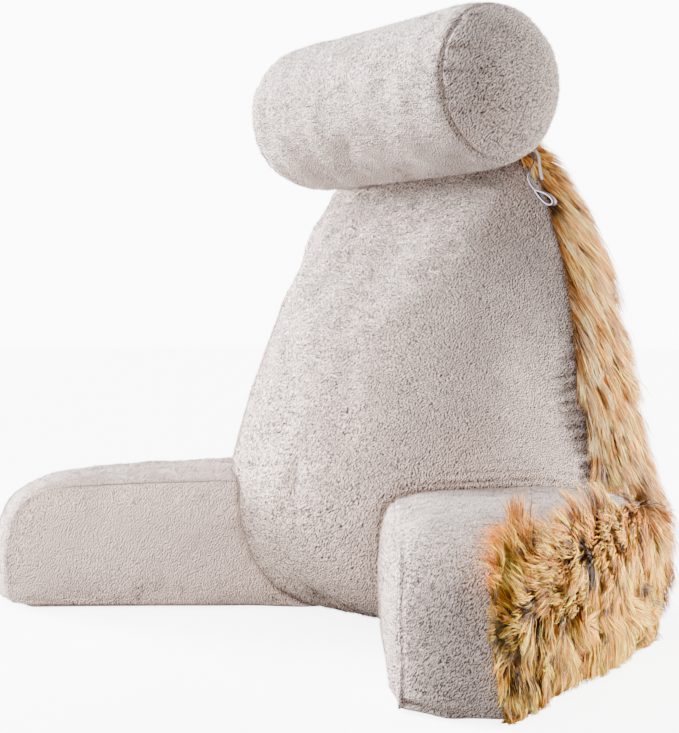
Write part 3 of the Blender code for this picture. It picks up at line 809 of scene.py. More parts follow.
def strand_spines(roots, out, lay, edge, coat, rng):
    """Each strand rises from the cloth, then lies over, curls and sinks a little."""
    count = len(roots)
    aside = unit(np.cross(out, lay))
    length = coat["length"](roots) * rng.uniform(0.62, 1.12, count)
    lift = coat["rise"](roots) * (1 + rng.normal(0, 0.22, count)) * (1.25 - 0.55 * edge)
    lift = np.clip(lift, 0.04, 1.35)
    wave = rng.uniform(0, 2 * math.pi, count)[:, None]
    amount = (coat["curl"] * rng.uniform(0.3, 1.2, count))[:, None]
    spines = np.empty((count, len(STEPS), 3))
    for k, at in enumerate(STEPS):
        reach = length * at
        spines[:, k] = (roots + lay * (reach * np.cos(lift * (1 - 0.45 * at)))[:, None]
                        + out * (length * np.sin(lift) * 1.15 * (at - 0.50 * at ** 2))[:, None]
                        + aside * (amount * np.sin(wave + 3.4 * at) * at)
                        - np.array([0, 0, 1.0]) * (0.07 * length * at ** 2)[:, None])
    return spines


def gather_locks(spines, sets, rng):
    """Draws the strands of each lock together towards their tips, clear of floor and roll."""
    for guides, near, _, gather in sets:
        mine = guides[near]
        pull = gather * rng.uniform(0.35, 1.0, len(spines))
        leaders = spines[mine].copy()
        for k, at in enumerate(STEPS):
            share = (pull * at ** 1.3)[:, None]
            spines[:, k] = spines[:, k] * (1 - share) + leaders[:, k] * share
    height = spines[:, :, 2]
    spines[:, :, 2] = np.where(height < 0.002, 0.002 + 0.10 * np.abs(height), height)
    for k in range(len(STEPS)):
        spines[:, k] = clear_of_roll(spines[:, k], 0.004, SHIFT_Y)


def strand_tints(roots, spines, sets, edge, coat, rng):
    """A lock has one tone, with painted shade at its edges and in the ribbon loop's shadow, with
    strays and dark-tipped guard hairs.
    """
    count = len(roots)
    guides, near = sets[0][:2]
    kind_of = coat["tones"](roots[guides], rng)[near]
    stray = rng.random(count) < coat["mixed"]
    kind_of[stray] = rng.choice(5, size=stray.sum(), p=coat["shares"])
    bright = rng.normal(0, 0.22, len(guides))[near] + rng.normal(0, 0.28, count)
    # random tone per lock and strand, times painted shade towards a lock's edge
    shade = np.clip((1 + bright) * (1.42 - coat["edge"] * edge), 0.08, 1.9)
    tone = COAT_TONES[kind_of, :3] * shade[:, None] ** DEEPEN * coat["tint"](roots)
    dark, pale = COAT_TONES[kind_of, 3], COAT_TONES[kind_of, 4]
    fade = np.stack([dark, 0.5 * dark + 0.45, np.ones(count), pale], 1)
    guard = rng.random(count) < coat["guard"]
    fade[guard, 2:] *= np.array([0.50, 0.22])
    # painted shadow of the ribbon loop on the fur behind it
    in_loop_shadow = np.linalg.norm(spines - np.array(LOOP_SHADE), axis=2) < LOOP_SHADE_SIZE
    fade = np.where(in_loop_shadow, 0.15 * fade, fade)
    return np.clip(tone[:, None, :] * fade[:, :, None] ** DEEPEN, 0.004, 0.98)


def fur(name, mesh, chosen, count, coat, rng, material, nodes, tuck=None):
    """Long pile in locks. coat holds how it lies, its lengths and its tones."""
    roots, out, _ = scatter(mesh, chosen, count, rng, coat.get("denser"))
    if tuck is not None:
        keep = tuck(roots)
        roots, out = roots[keep], out[keep]
    count = len(roots)
    lay = along_surface(coat["lay"](roots, out), out)
    aside = unit(np.cross(out, lay))
    lay = unit(lay + aside * rng.normal(0, coat["stray"], count)[:, None])
    # strands belong to locks, and locks to tufts
    sets = [lock_set(roots, clump, gather, rng) for clump, gather in coat["locks"]]
    edge = 0.65 * sets[0][2] + 0.35 * sets[1][2]
    spines = strand_spines(roots, out, lay, edge, coat, rng)
    gather_locks(spines, sets, rng)
    across = unit(np.cross(out, lay) + out * rng.normal(0, 0.45, count)[:, None])
    across = np.repeat(across[:, None], len(STEPS), 1)
    widths = (coat["width"] * rng.uniform(0.55, 1.3, count))[:, None] \
        * np.array([[0.9, 1.0, 0.75, 0.0]])
    tints = strand_tints(roots, spines, sets, edge, coat, rng)
    return strand_mesh(name, spines, widths, across, tints, out, coat["soft"], material,
                       nodes)


def drawn(values, shares):
    """The kind of each lock, from a value between 0 and 1."""
    return np.searchsorted(np.cumsum(shares) / np.sum(shares), np.clip(values, 0, 0.999))


def ranked(values):
    """Values spread evenly between 0 and 1, in the same order."""
    return np.argsort(np.argsort(values)) / len(values)


PILE_LENGTH, PILE_WIDTH, PILE_RISE = 0.0044, 0.0010, 0.50


def pile(name, mesh, chosen, count, brushed, rng, material, nodes, sewn, tuft_shade_spread):
    """Short brushed pile: one small blade each."""
    roots, out, read = scatter(mesh, chosen, count, rng)
    lay = along_surface(np.array([brushed]) * np.ones((count, 1)), out)
    aside = np.cross(out, lay)
    turn = (rng.normal(0, 0.28, count) + 0.8 * noise_at(roots, 0.030, 2.0))[:, None]
    lay = unit(lay * np.cos(turn) + aside * np.sin(turn))
    lift = PILE_RISE + 0.25 * noise_at(roots, 0.008, 9.0) + rng.normal(0, 0.15, count)
    lift = np.clip(lift, 0.1, 1.2)
    size = PILE_LENGTH * rng.uniform(0.65, 1.25, count)
    tip = roots + (lay * np.cos(lift)[:, None] + out * np.sin(lift)[:, None]) * size[:, None]
    tip[:, 2] = np.maximum(tip[:, 2], 0.0012)
    spines = np.stack([roots - out * 0.0003, tip], 1)
    across = unit(np.cross(out, lay) + out * rng.normal(0, 0.35, count)[:, None])
    across = np.repeat(across[:, None], 2, 1)
    widths = (PILE_WIDTH * rng.uniform(0.7, 1.4, count))[:, None] * np.array([[1.0, 0.0]])
    # where the painted tuft shade is stronger the blades' tones spread wider, from darker to
    # lighter
    step = rng.choice((-1.0, -0.2, 0.45), count, p=(0.24, 0.26, 0.50))
    tone = PLUSH_TONE * (1 + step * (0.18 + 0.34 * tuft_shade_spread(roots)))[:, None]
    # painted shade from the seam marks, carried onto the blades
    tone = tone * (1 - 0.75 * np.clip(read(sewn), 0, 1))[:, None]
    tints = np.clip(np.stack([tone * 0.90, tone * 1.12], 1), 0.01, 0.95)
    return strand_mesh(name, spines, widths, across, tints, out, 0.8, material, nodes)


# ---- materials --------------------------------------------------------------------------------
PLUSH_TONE = np.array([0.560, 0.455, 0.420])


def add_node(tree, kind, inputs=(), **settings):
    """A shader node: its settings, then its inputs, each one a value or another node's output."""
    node = tree.nodes.new("ShaderNode" + kind)
    for label, value in settings.items():
        setattr(node, label, value)
    for label, value in dict(inputs).items():
        if isinstance(value, bpy.types.NodeSocket):
            tree.links.new(value, node.inputs[label])
        else:
            node.inputs[label].default_value = value
    return node


def maths(tree, operation, *values):
    return add_node(tree, "Math", enumerate(values), operation=operation).outputs[0]


def vector_maths(tree, operation, *values, output="Vector", **named):
    inputs = {**dict(enumerate(values)), **named}
    return add_node(tree, "VectorMath", inputs, operation=operation).outputs[output]


def node_group(name, inputs, outputs):
    """A node group with named sockets. Its inputs come back by name."""
    group = bpy.data.node_groups.new(name, "ShaderNodeTree")
    for label, (kind, value) in inputs.items():
        socket = group.interface.new_socket(label, in_out="INPUT",
                                            socket_type="NodeSocket" + kind)
        socket.default_value = value
    for label, kind in outputs.items():
        group.interface.new_socket(label, in_out="OUTPUT", socket_type="NodeSocket" + kind)
    return group, group.nodes.new("NodeGroupInput").outputs, \
        group.nodes.new("NodeGroupOutput").inputs


def build_mottle_group():
    """Soft cloudy variation of a colour at two sizes."""
    group, given, result = node_group(
        "mottle",
        {"Color": ("Color", (0.5, 0.5, 0.5, 1)), "Large Scale": ("Float", 9.0),
         "Fine Scale": ("Float", 180.0), "Large Amount": ("Float", 0.1),
         "Fine Amount": ("Float", 0.2)},
        {"Color": "Color"})
    where = add_node(group, "TexCoord").outputs["Object"]
    clouds = []
    for size in ("Large", "Fine"):
        cloud = add_node(group, "TexNoise", {"Detail": 3.0, "Vector": where,
                                             "Scale": given[size + " Scale"]})
        centred = maths(group, "SUBTRACT", cloud.outputs["Fac"], 0.5)
        clouds.append(maths(group, "MULTIPLY_ADD", centred, given[size + " Amount"], 1.0))
    both = maths(group, "MULTIPLY", *clouds)
    group.links.new(vector_maths(group, "SCALE", given["Color"], Scale=both), result["Color"])
    return group


FLECK_SPREAD = 0.15


def build_fleck_shade_group():
    """Brushed pile: short flecks along the way it was brushed, each with a painted highlight on one
    side and painted shade on the other, over soft cloudy patches.
    """
    group, given, result = node_group(
        "brushed_flecks_painted_shade",
        {"Color": ("Color", (0.5, 0.5, 0.5, 1)), "Lay": ("Vector", (0.0, 0.0, 1.0)),
         "Side": ("Vector", (0.002, 0.0, 0.0)), "Scale": ("Float", 300.0),
         "Stretch": ("Float", 2.2), "Dark": ("Float", 0.5), "Light": ("Float", 1.2),
         "Patches": ("Float", 0.2)},
        {"Color": "Color", "Height": "Float"})
    where = add_node(group, "TexCoord").outputs["Object"]
    # bend the brushing a little from place to place
    drift = add_node(group, "TexNoise", {"Scale": 16.0, "Detail": 1.0, "Vector": where})
    swirl = vector_maths(group, "MULTIPLY_ADD", drift.outputs["Color"], (0.010, 0.010, 0.010),
                         where)
    along = vector_maths(group, "DOT_PRODUCT", swirl, given["Lay"], output="Value")
    shrink = maths(group, "SUBTRACT", maths(group, "DIVIDE", 1.0, given["Stretch"]), 1.0)
    pull = maths(group, "MULTIPLY", along, shrink)
    moved = vector_maths(group, "SCALE", given["Lay"], Scale=pull)
    place = vector_maths(group, "ADD", swirl, moved)
    # each stroke has a painted light side and a painted dark side: the same noise read twice, a
    # step apart
    reads = []
    for at in (place, vector_maths(group, "ADD", place, given["Side"])):
        fleck = add_node(group, "TexNoise", {"Detail": 1.0, "Roughness": 0.5, "Vector": at,
                                             "Scale": given["Scale"]})
        reads.append(fleck.outputs["Fac"])
    shade = add_node(group, "MapRange", {
        "From Min": -FLECK_SPREAD, "From Max": FLECK_SPREAD,
        "Value": maths(group, "SUBTRACT", *reads), "To Min": given["Dark"],
        "To Max": given["Light"]})
    cloud = add_node(group, "TexNoise", {"Scale": 22.0, "Detail": 3.0, "Vector": place})
    patch = maths(group, "MULTIPLY_ADD", maths(group, "SUBTRACT", cloud.outputs["Fac"], 0.5),
                  given["Patches"], 1.0)
    factor = maths(group, "MULTIPLY", shade.outputs["Result"], patch)
    group.links.new(vector_maths(group, "SCALE", given["Color"], Scale=factor), result["Color"])
    group.links.new(reads[0], result["Height"])
    return group


def base_material(name, rough, sheen, sheen_rough, specular=0.3):
    mat = bpy.data.materials.new(name)
    mat.use_nodes = True
    shader = mat.node_tree.nodes["Principled BSDF"]
    shader.inputs["Roughness"].default_value = rough
    shader.inputs["Sheen Weight"].default_value = sheen
    shader.inputs["Sheen Roughness"].default_value = sheen_rough
    shader.inputs["Specular IOR Level"].default_value = specular
    return mat, mat.node_tree, shader.inputs


def raise_by(tree, height, strength, distance):
    return add_node(tree, "Bump", {"Strength": strength, "Distance": distance,
                                   "Height": height}).outputs["Normal"]


# Dark and Light: how deep the painted tuft shade and how bright the painted highlight of each
# stroke
PLUSH_FLECK_SHADE = dict(Scale=820.0, Stretch=2.8, Patches=0.24, Side=(-0.0008, -0.0008, 0.0007),
                    Dark=0.02, Light=1.95)
ARM_FLECK_SHADE = dict(Scale=860.0, Stretch=2.2, Patches=0.30, Side=(-0.0006, -0.0006, 0.0006),
                  Dark=0.15, Light=1.85)
UNDERFUR_FLECK_SHADE = dict(PLUSH_FLECK_SHADE, Dark=0.35, Light=1.6)
PLUSH_DEEP, UNDERFUR_DEEP = 0.0017, 0.003
PAINTED_SHADE_TONE = (0.30, 0.24, 0.21, 1)


def plush_skin(name, tone, lay, flecks, grain=PLUSH_FLECK_SHADE, deep=PLUSH_DEEP):
    """The cloth of a cushion or a coat, darker along the sewn lines where the pile parts: painted
    shade from its seam marks, which also hold folds, joins and faces turned from the light.
    """
    mat, tree, shader = base_material(name, 0.95, 0.30, 0.45, 0.1)
    look = add_node(tree, "Group", {"Color": (*tone, 1), "Lay": lay, **grain}, node_tree=flecks)
    # the seam attribute is painted shade, multiplied in as the shade colour
    seam = add_node(tree, "Attribute", attribute_name="seam")
    parted = add_node(tree, "Mix", {"Factor": seam.outputs["Fac"], "A": look.outputs["Color"],
                                    "B": PAINTED_SHADE_TONE}, data_type="RGBA", blend_type="MULTIPLY")
    tree.links.new(parted.outputs["Result"], shader["Base Color"])
    tree.links.new(raise_by(tree, look.outputs["Height"], 1.0, deep), shader["Normal"])
    return mat


def short_pile(name, lay, flecks, grain=PLUSH_FLECK_SHADE):
    mat, tree, shader = base_material(name, 0.95, 0.25, 0.45, 0.1)
    tint = add_node(tree, "Attribute", attribute_name="tint")
    look = add_node(tree, "Group", {"Color": tint.outputs["Color"], "Lay": lay, **grain},
                    node_tree=flecks)
    tree.links.new(look.outputs["Color"], shader["Base Color"])
    tree.links.new(raise_by(tree, look.outputs["Height"], 1.0, PLUSH_DEEP), shader["Normal"])
    return mat


def fur_material(name, mottle):
    mat, tree, shader = base_material(name, 0.60, 0.0, 0.4, 0.15)
    tint = add_node(tree, "Attribute", attribute_name="tint")
    look = add_node(tree, "Group", {"Color": tint.outputs["Color"], "Large Scale": 11.0,
                                    "Fine Scale": 150.0, "Large Amount": 0.18,
                                    "Fine Amount": 0.5}, node_tree=mottle)
    tree.links.new(look.outputs["Color"], shader["Base Color"])
    return mat


LOOP_MIDDLE = (0.2205, 0.084, 0.5055)
LOOP_SHADE = (0.2095, 0.0950, 0.5050)      # where the fur lies in the loop's shade
LOOP_SHADE_SIZE = 0.020


def ribbon_material(mottle):
    """Satin ribbon: pale edges, grey-lavender faces, deep shade inside its loop."""
    mat, tree, shader = base_material("satin_ribbon", 0.55, 0.0, 0.3, 0.25)
    where = add_node(tree, "NewGeometry").outputs
    facing = add_node(tree, "SeparateXYZ", {0: where["True Normal"]})
    edge = maths(tree, "ABSOLUTE", facing.outputs["Y"])
    ends = add_node(tree, "MapRange", {"From Min": 0.86, "From Max": 0.95, "Value": edge})
    inward = vector_maths(tree, "SUBTRACT", LOOP_MIDDLE, where["Position"])
    lie = vector_maths(tree, "DOT_PRODUCT", inward, where["True Normal"], output="Value")
    inside = add_node(tree, "MapRange", {"From Min": 0.0005, "From Max": 0.0020, "Value": lie})
    face = add_node(tree, "Mix", {"Factor": inside.outputs["Result"],
                                  "A": (0.105, 0.085, 0.125, 1),
                                  "B": (0.030, 0.024, 0.045, 1)}, data_type="RGBA")
    both = add_node(tree, "Mix", {"Factor": ends.outputs["Result"],
                                  "A": face.outputs["Result"],
                                  "B": (0.80, 0.74, 0.86, 1)}, data_type="RGBA")
    look = add_node(tree, "Group", {"Color": both.outputs["Result"], "Large Scale": 60.0,
                                    "Fine Scale": 900.0, "Large Amount": 0.15,
                                    "Fine Amount": 0.2}, node_tree=mottle)
    tree.links.new(look.outputs["Color"], shader["Base Color"])
    weave = add_node(tree, "TexWave", {"Scale": 900.0})
    tree.links.new(raise_by(tree, weave.outputs["Fac"], 0.25, 0.0002), shader["Normal"])
    return mat


MOTTLE = build_mottle_group()
FLECK_SHADE = build_fleck_shade_group()
PANEL_LAY = tuple(Vector((0.72, 0.10, 0.68)).normalized())
ARM_LAY = tuple(Vector((0.45, 0.30, 0.84)).normalized())
ROLL_LAY = tuple(Vector((0.45, 0.55, 0.70)).normalized())
BODY_SKIN = plush_skin("backrest_plush", PLUSH_TONE, PANEL_LAY, FLECK_SHADE)
ARM_SKIN = plush_skin("arm_plush_cloth", PLUSH_TONE, ARM_LAY, FLECK_SHADE, ARM_FLECK_SHADE)
ROLL_SKIN = plush_skin("neck_roll_plush", PLUSH_TONE, ROLL_LAY, FLECK_SHADE)
BODY_PILE = short_pile("backrest_short_pile", PANEL_LAY, FLECK_SHADE)
ARM_PILE = short_pile("arm_short_pile", ARM_LAY, FLECK_SHADE, ARM_FLECK_SHADE)
ROLL_PILE = short_pile("roll_short_pile", ROLL_LAY, FLECK_SHADE)
FUR = fur_material("long_fur_strands", MOTTLE)
BACK_UNDERFUR = plush_skin("back_underfur", (0.22, 0.105, 0.035), (0.0, 0.35, -0.94), FLECK_SHADE,
                           UNDERFUR_FLECK_SHADE, UNDERFUR_DEEP)
ARM_UNDERFUR = plush_skin("arm_underfur", (0.26, 0.125, 0.036), (0.0, 0.2, -0.98), FLECK_SHADE,
                          UNDERFUR_FLECK_SHADE, UNDERFUR_DEEP)
RIBBON = ribbon_material(MOTTLE)

# ---- finishing --------------------------------------------------------------------------------
def refine_by(thing, near, cuts=2):
    """A finer mesh only where small folds come."""
    work = bmesh.new()
    work.from_mesh(thing.data)
    work.verts.ensure_lookup_table()
    edges = [e for e in work.edges if all(near(v.co) for v in e.verts) and e.calc_length() > 0.003]
    bmesh.ops.subdivide_edges(work, edges=edges, cuts=cuts, use_grid_fill=True, smooth=0.3)
    bmesh.ops.triangulate(work, faces=[f for f in work.faces if len(f.verts) > 4])
    work.to_mesh(thing.data)
    work.free()
    thing.data.shade_smooth()


def finish_cushion(thing, seams, lump, lump_size, sewn, seed, below_coat=None, fine=None):
    """Soft unevenness of the filling, then the sewn lines with painted shade along them, on a finer
    mesh.
    """
    refine(thing)
    if fine:
        refine_by(thing, fine)
    pts, nrm = coords(thing.data), normals_of(thing.data)
    free = ramp(pts[:, 2], 0.0, 0.02)
    swellings = noise_at(pts, lump_size, seed) + 0.5 * noise_at(pts, lump_size * 0.45, seed + 2)
    swellings = np.where(below_coat(pts), -0.7, swellings) if below_coat else swellings
    pts = pts + nrm * (lump * swellings * free)[:, None]
    dark = np.zeros(len(pts))
    for seam in seams:
        pinched, line = seam_pinch(pts, nrm, densify(seam), seed=seed, **sewn)
        pts = pts + (pinched - pts) * (free ** 2)[:, None]
        dark = np.maximum(dark, line)
    pts[:, 2] = np.maximum(pts[:, 2], 0.0)
    set_coords(thing.data, pts)
    # the seam attribute holds the painted shade along the seams
    thing.data.attributes.new("seam", "FLOAT", "POINT")
    set_painted_shade_marks(thing.data, dark)


def behind_front(points, spare=0.008):
    rows = np.array(BODY_OUTLINE)
    lean = np.interp(points[:, 2], rows[:, 2], rows[:, 1]) + SHIFT_Y
    return points[:, 1] > lean + spare


def tuck_in(thing, lines, depth, width, line):
    """Short creases pressed into the cloth along the given lines, with a low ridge beside each and
    painted shade in each crease.
    """
    pts, nrm = coords(thing.data), normals_of(thing.data)
    dark = painted_shade_marks_of(thing.data)
    for points in lines:
        far = np.linalg.norm(pts[:, None] - points[None], axis=2)
        best = far.argmin(1)
        fade = 1 - (best / (len(points) - 1)) ** 1.5
        press = fade * np.exp(-(far.min(1) / width) ** 2)
        ridge = fade * np.exp(-((far.min(1) - 2.4 * width) / (1.2 * width)) ** 2)
        pts = pts + nrm * (depth * (0.35 * ridge - press))[:, None]
        dark = np.maximum(dark, (line * press).astype(np.float32))
    set_coords(thing.data, pts)
    set_painted_shade_marks(thing.data, dark)


def near_front_seam(p):
    gap = np.linalg.norm(near_seams[0] - np.array(p), axis=1).min()
    return gap < 0.009 and along_arm(np.array([p]))[0] > 0.80


def paint_join_shade(thing, other, reach, line=0.85):
    """Painted shade along the line where two pieces meet; where it is dark enough the pile parts.
    """
    tree = surface_of(other)
    dark = painted_shade_marks_of(thing.data)
    for k, p in enumerate(coords(thing.data)):
        near, _, _, far = tree.find_nearest(Vector(p), 2.5 * reach)
        if near is not None and p[2] > 0.006:
            dark[k] = max(dark[k], line * math.exp(-(far / reach) ** 2))
    set_painted_shade_marks(thing.data, dark)


def paint_shade_and_patches(thing, chosen, value):
    """Darker pile marks where the chosen share is high: painted shade on faces turned from the
    light, plain darker patches where the share is noise.
    """
    lying = value * chosen(coords(thing.data), normals_of(thing.data))
    set_painted_shade_marks(thing.data, np.maximum(painted_shade_marks_of(thing.data), lying.astype(np.float32)))


def facing(axis, steepness, start):
    """A share that grows from 0 to 1 as a surface turns towards one axis."""
    return lambda pts, nrm: np.clip(steepness * nrm[:, axis] - start, 0, 1)


def foot_hem(arm):
    """The line just above the floor along the near arm's front, found on its surface."""
    tree = surface_of(arm)
    inner, outer = arm_plan_at(1.0)
    run = unit(inner - arm_plan_at(0.9)[0])
    line = []
    for share in np.linspace(0.07, 1.05, 60):
        start = inner + (outer - inner) * share + np.array([0, SHIFT_Y]) + 0.1 * run
        height = 0.0085 + 0.002 * math.sin(9 * share)
        spot, _, _, _ = tree.ray_cast(Vector((*start, height)), Vector((*-run, 0)))
        if spot is not None:
            line.append(spot)
    return np.array(line)


def gather_side(thing, loop, depth, pitch, reach):
    """Short gathers that run in from the front seam, along the lower half of each side, with
    painted shade in their hollows.
    """
    line = densify(loop)
    line = line[(line[:, 2] > 0.17) & (line[:, 2] < 0.37) & (np.abs(line[:, 0]) > 0.2)]
    tree = tree_of(line)
    refine_by(thing, lambda p: p[0] > 0.15 and tree.find(p)[2] < 1.5 * reach)
    pts, nrm = coords(thing.data), normals_of(thing.data)
    dark = painted_shade_marks_of(thing.data)
    for k, p in enumerate(pts):
        _, near, far = tree.find(Vector(p))
        if far > 3 * reach:
            continue
        height = line[near][2] + 0.10 * (line[near][2] - 0.27) * far / reach
        mark = 3.0 * noise.noise(Vector((height / 0.018, 1.3, float(np.sign(p[0])))))
        wave = math.sin(2 * math.pi * height / pitch + 1.2 * mark)
        ends = min(1.0, (height - 0.17) / 0.03, (0.37 - height) / 0.05)
        run = reach * (0.7 + 0.5 * mark)
        strength = max(0.0, ends) * math.exp(-(far / max(run, 0.006)) ** 2) * min(1.0, far / 0.003)
        pts[k] = p + nrm[k] * depth * wave * strength
        dark[k] = max(dark[k], 0.30 * max(0.0, -wave) ** 3 * strength)
    set_coords(thing.data, pts)
    set_painted_shade_marks(thing.data, dark)


def crease_by(thing, other, depth, pitch, reach, seed):
    """Folds that run along the line where one piece presses on another, with painted shade in their
    hollows.
    """
    tree = surface_of(other)
    refine_by(thing, lambda p: tree.find_nearest(p, 2.4 * reach)[0] is not None and p[1] < 0.12)
    pts, nrm = coords(thing.data), normals_of(thing.data)
    dark = painted_shade_marks_of(thing.data)
    for k, p in enumerate(pts):
        near, _, _, far = tree.find_nearest(Vector(p), 3.5 * reach)
        if near is None or far < 0.0012 or p[2] < 0.03:
            continue
        broken = 0.55 + 0.6 * noise.noise(Vector((p[0] / 0.05, p[1] / 0.05, p[2] / 0.05 + seed)))
        wander = 0.25 * noise.noise(Vector((p[0] / 0.03, p[1] / 0.03, seed)))
        wave = math.sin(2 * math.pi * (far / pitch + wander))
        strength = broken * math.exp(-far / reach) * min(1.0, (far - 0.0012) / 0.004)
        pts[k] = p + nrm[k] * depth * wave * strength
        dark[k] = max(dark[k], 0.9 * max(0.0, -wave) * strength)
    set_coords(thing.data, pts)
    set_painted_shade_marks(thing.data, dark)


# ---- making -----------------------------------------------------------------------------------
rng = np.random.default_rng(SEED)
DENSE = 1.0
backrest, body_kind = build_backrest(BODY_SKIN)
arm_left, arm_right, arm_kind, near_seams, far_seams = build_arms(ARM_SKIN)
neck_roll, roll_seams = build_neck_roll(ROLL_SKIN)

# a little slimmer low on the far side, a little fuller below the roll
body_points = coords(backrest.data)
far_side = ramp(-body_points[:, 0], 0.08, 0.10)
hump = np.exp(-((body_points[:, 2] - 0.21) / 0.09) ** 2)
shoulder = np.exp(-((body_points[:, 2] - 0.50) / 0.06) ** 2)
body_points[:, 0] += far_side * (0.0045 * hump - 0.0035 * shoulder)
set_coords(backrest.data, body_points)

# the coats grow on these, the cushions as stuffed and before their seams are drawn in
body_base = backrest.data.copy()
arm_base = {"left": arm_left.data.copy(), "right": arm_right.data.copy()}
BODY_POINTS = coords(body_base)
front_loop, back_loop = body_loops()
front_loop = front_loop + np.array([0, SHIFT_Y, 0])
body_floor = np.maximum(front_loop[:, 2], back_loop[:, 2]) < 0.012
behind_arm = front_loop[:, 2] < 0.175

# line: how dark the painted shade along each seam is
finish_cushion(backrest, [front_loop], 0.0026, 0.07,
               dict(depth=0.0015, width=0.0030, pucker=0.0012, reach=0.022, pitch=0.016,
                    line=0.35), 1.0, behind_front)
for arm, sign, seams, seed in ((arm_left, 1, near_seams, 3.0), (arm_right, -1, far_seams, 6.0)):
    finish_cushion(arm, seams, 0.0016, 0.05,
                   dict(depth=0.0026, width=0.0024, pucker=0.0012, reach=0.010, pitch=0.018,
                        line=1.0), seed, fine=near_front_seam if sign > 0 else None)
    sew_onto(arm, backrest, sign, 0.0006)
finish_cushion(neck_roll, roll_seams, 0.0021, 0.05,
               dict(depth=0.0032, width=0.0024, pucker=0.0016, reach=0.014, pitch=0.021,
                    line=1.0), 8.0)
tuck_in(neck_roll, [roll_tuck(turn, deep) for turn, deep in ROLL_TUCKS], 0.0050, 0.0028, 0.95)
gather_side(backrest, front_loop, 0.0028, 0.0155, 0.036)
crease_by(backrest, arm_left, 0.0036, 0.010, 0.016, 2.0)
crease_by(backrest, arm_right, 0.0022, 0.012, 0.008, 5.0)
# painted shade where the arms and the body meet
for arm in (arm_left, arm_right):
    paint_join_shade(backrest, arm, 0.0035)
    paint_join_shade(arm, backrest, 0.0030)
refine_by(arm_left, lambda p: p[2] < 0.022 and along_arm(np.array([p]))[0] > 0.93)
tuck_in(arm_left, [foot_hem(arm_left)], 0.0034, 0.0024, 1.0)
# painted shade on the near arm's front and top and on the roll's near end; plain darker patches on
# the far arm
paint_shade_and_patches(arm_left, facing(1, -1.6, 0.6), 0.40)
paint_shade_and_patches(arm_left, facing(2, 2.5, 1.5), 0.30)
paint_shade_and_patches(arm_right, lambda pts, nrm: 0.5 + 0.5 * noise_at(pts, 0.05, 33.0), 0.10)
paint_shade_and_patches(neck_roll, facing(0, 2.5, 1.3), 0.32)
# painted shade where the roll sits on the body, and a wider, softer painted shade on the body below
# the roll
paint_join_shade(backrest, neck_roll, 0.0050)
paint_join_shade(backrest, neck_roll, 0.0280, 0.48)
for cushion in (backrest, arm_left, arm_right):
    resting = coords(cushion.data)
    resting[:, 2] = np.maximum(resting[:, 2], 0.0)
    set_coords(cushion.data, resting)


# ---- coats ------------------------------------------------------------------------------------
column = np.concatenate([[0], np.tile(np.arange(BODY_COUNT), (len(body_kind) - 2) // BODY_COUNT),
                         [0]])


def coat_faces(tri):
    kind = body_kind[tri]
    low = body_floor[column[tri]].all(1) & (kind.max(1) <= 2.0)
    hidden = behind_arm[column[tri]].all(1) & (kind.max(1) < 1.45)
    start = np.where(BODY_POINTS[tri][:, :, 0].mean(1) < 0, 1.12, 1.0)
    return (kind.min(1) >= start) & ~low & ~hidden


def coat_skin(name, mesh, chosen, depth, seed, material, nodes):
    """The fur cloth itself, a thin lumpy slab closed at its rim."""
    tri = faces_in(mesh, chosen)
    used = np.unique(tri)
    new = np.full(len(mesh.vertices), -1)
    new[used] = np.arange(len(used))
    pts, nrm = coords(mesh)[used], normals_of(mesh)[used]
    edges = {}
    for f in tri:
        for k in range(3):
            a, b = int(f[k]), int(f[(k + 1) % 3])
            edges.setdefault((min(a, b), max(a, b)), []).append((a, b))
    rim = [v[0] for v in edges.values() if len(v) == 1]
    at_rim = np.zeros(len(used), bool)
    for a, b in rim:
        at_rim[new[a]] = at_rim[new[b]] = True
    thick = np.where(at_rim, 0.0010, depth * (1 + 0.3 * noise_at(pts, 0.03, seed)))
    outer = pts + nrm * thick[:, None]
    inner = pts + nrm * 0.0004
    outer[:, 2] = np.maximum(outer[:, 2], 0.0)
    outer = clear_of_roll(outer, 0.0015, SHIFT_Y)
    n = len(used)
    faces = [tuple(new[f] + n) for f in tri] + [tuple(new[f][::-1]) for f in tri]
    faces += [(new[b], new[a], new[a] + n, new[b] + n) for a, b in rim]
    return new_piece(name, np.vstack([inner, outer]), faces, material, nodes)


def set_back(roots):
    """0 at the front seam of the body, 1 at its rear seam."""
    return ramp(roots[:, 1] - SHIFT_Y, 0.043, 0.075)


def body_lay(roots, out):
    side = np.clip(roots[:, 0] / 0.10, -1, 1)[:, None] * np.array([[1.0, 0, 0]])
    back = (0.10 + 0.55 * set_back(roots))[:, None] * np.array([[0, 1.0, 0]])
    lay = np.array([[0, 0, -1.0]]) + back + 0.25 * side
    swirl = noise_at(roots, 0.050, 12.0) * 0.42 + noise_at(roots, 0.016, 14.0) * 0.20
    return lay + swirl[:, None] * np.cross(out, lay)


def body_length(roots):
    top = ramp(roots[:, 2], 0.28, 0.08) * ramp(roots[:, 2], 0.56, -0.09)
    near_seam = 1 - set_back(roots)
    far_side = np.where(roots[:, 0] < 0, 0.45 * near_seam, 0.0)
    under_roll = 1 - 0.35 * ramp(roots[:, 2], 0.53, 0.05)
    above_arm = np.clip((roots[:, 2] - 0.150) / 0.075, 0.25, 1)
    above_arm = np.where((set_back(roots) < 0.6) & (roots[:, 2] > 0.150), above_arm, 1)
    return 0.076 * (1 + 0.16 * top) * (1 - 0.30 * near_seam) * (1 - far_side) \
        * under_roll * above_arm


def body_rise(roots):
    far_side = np.where(roots[:, 0] < 0, 0.55 * (1 - set_back(roots)), 0.0)
    return (0.36 + 0.42 * set_back(roots)) * (1 - far_side)


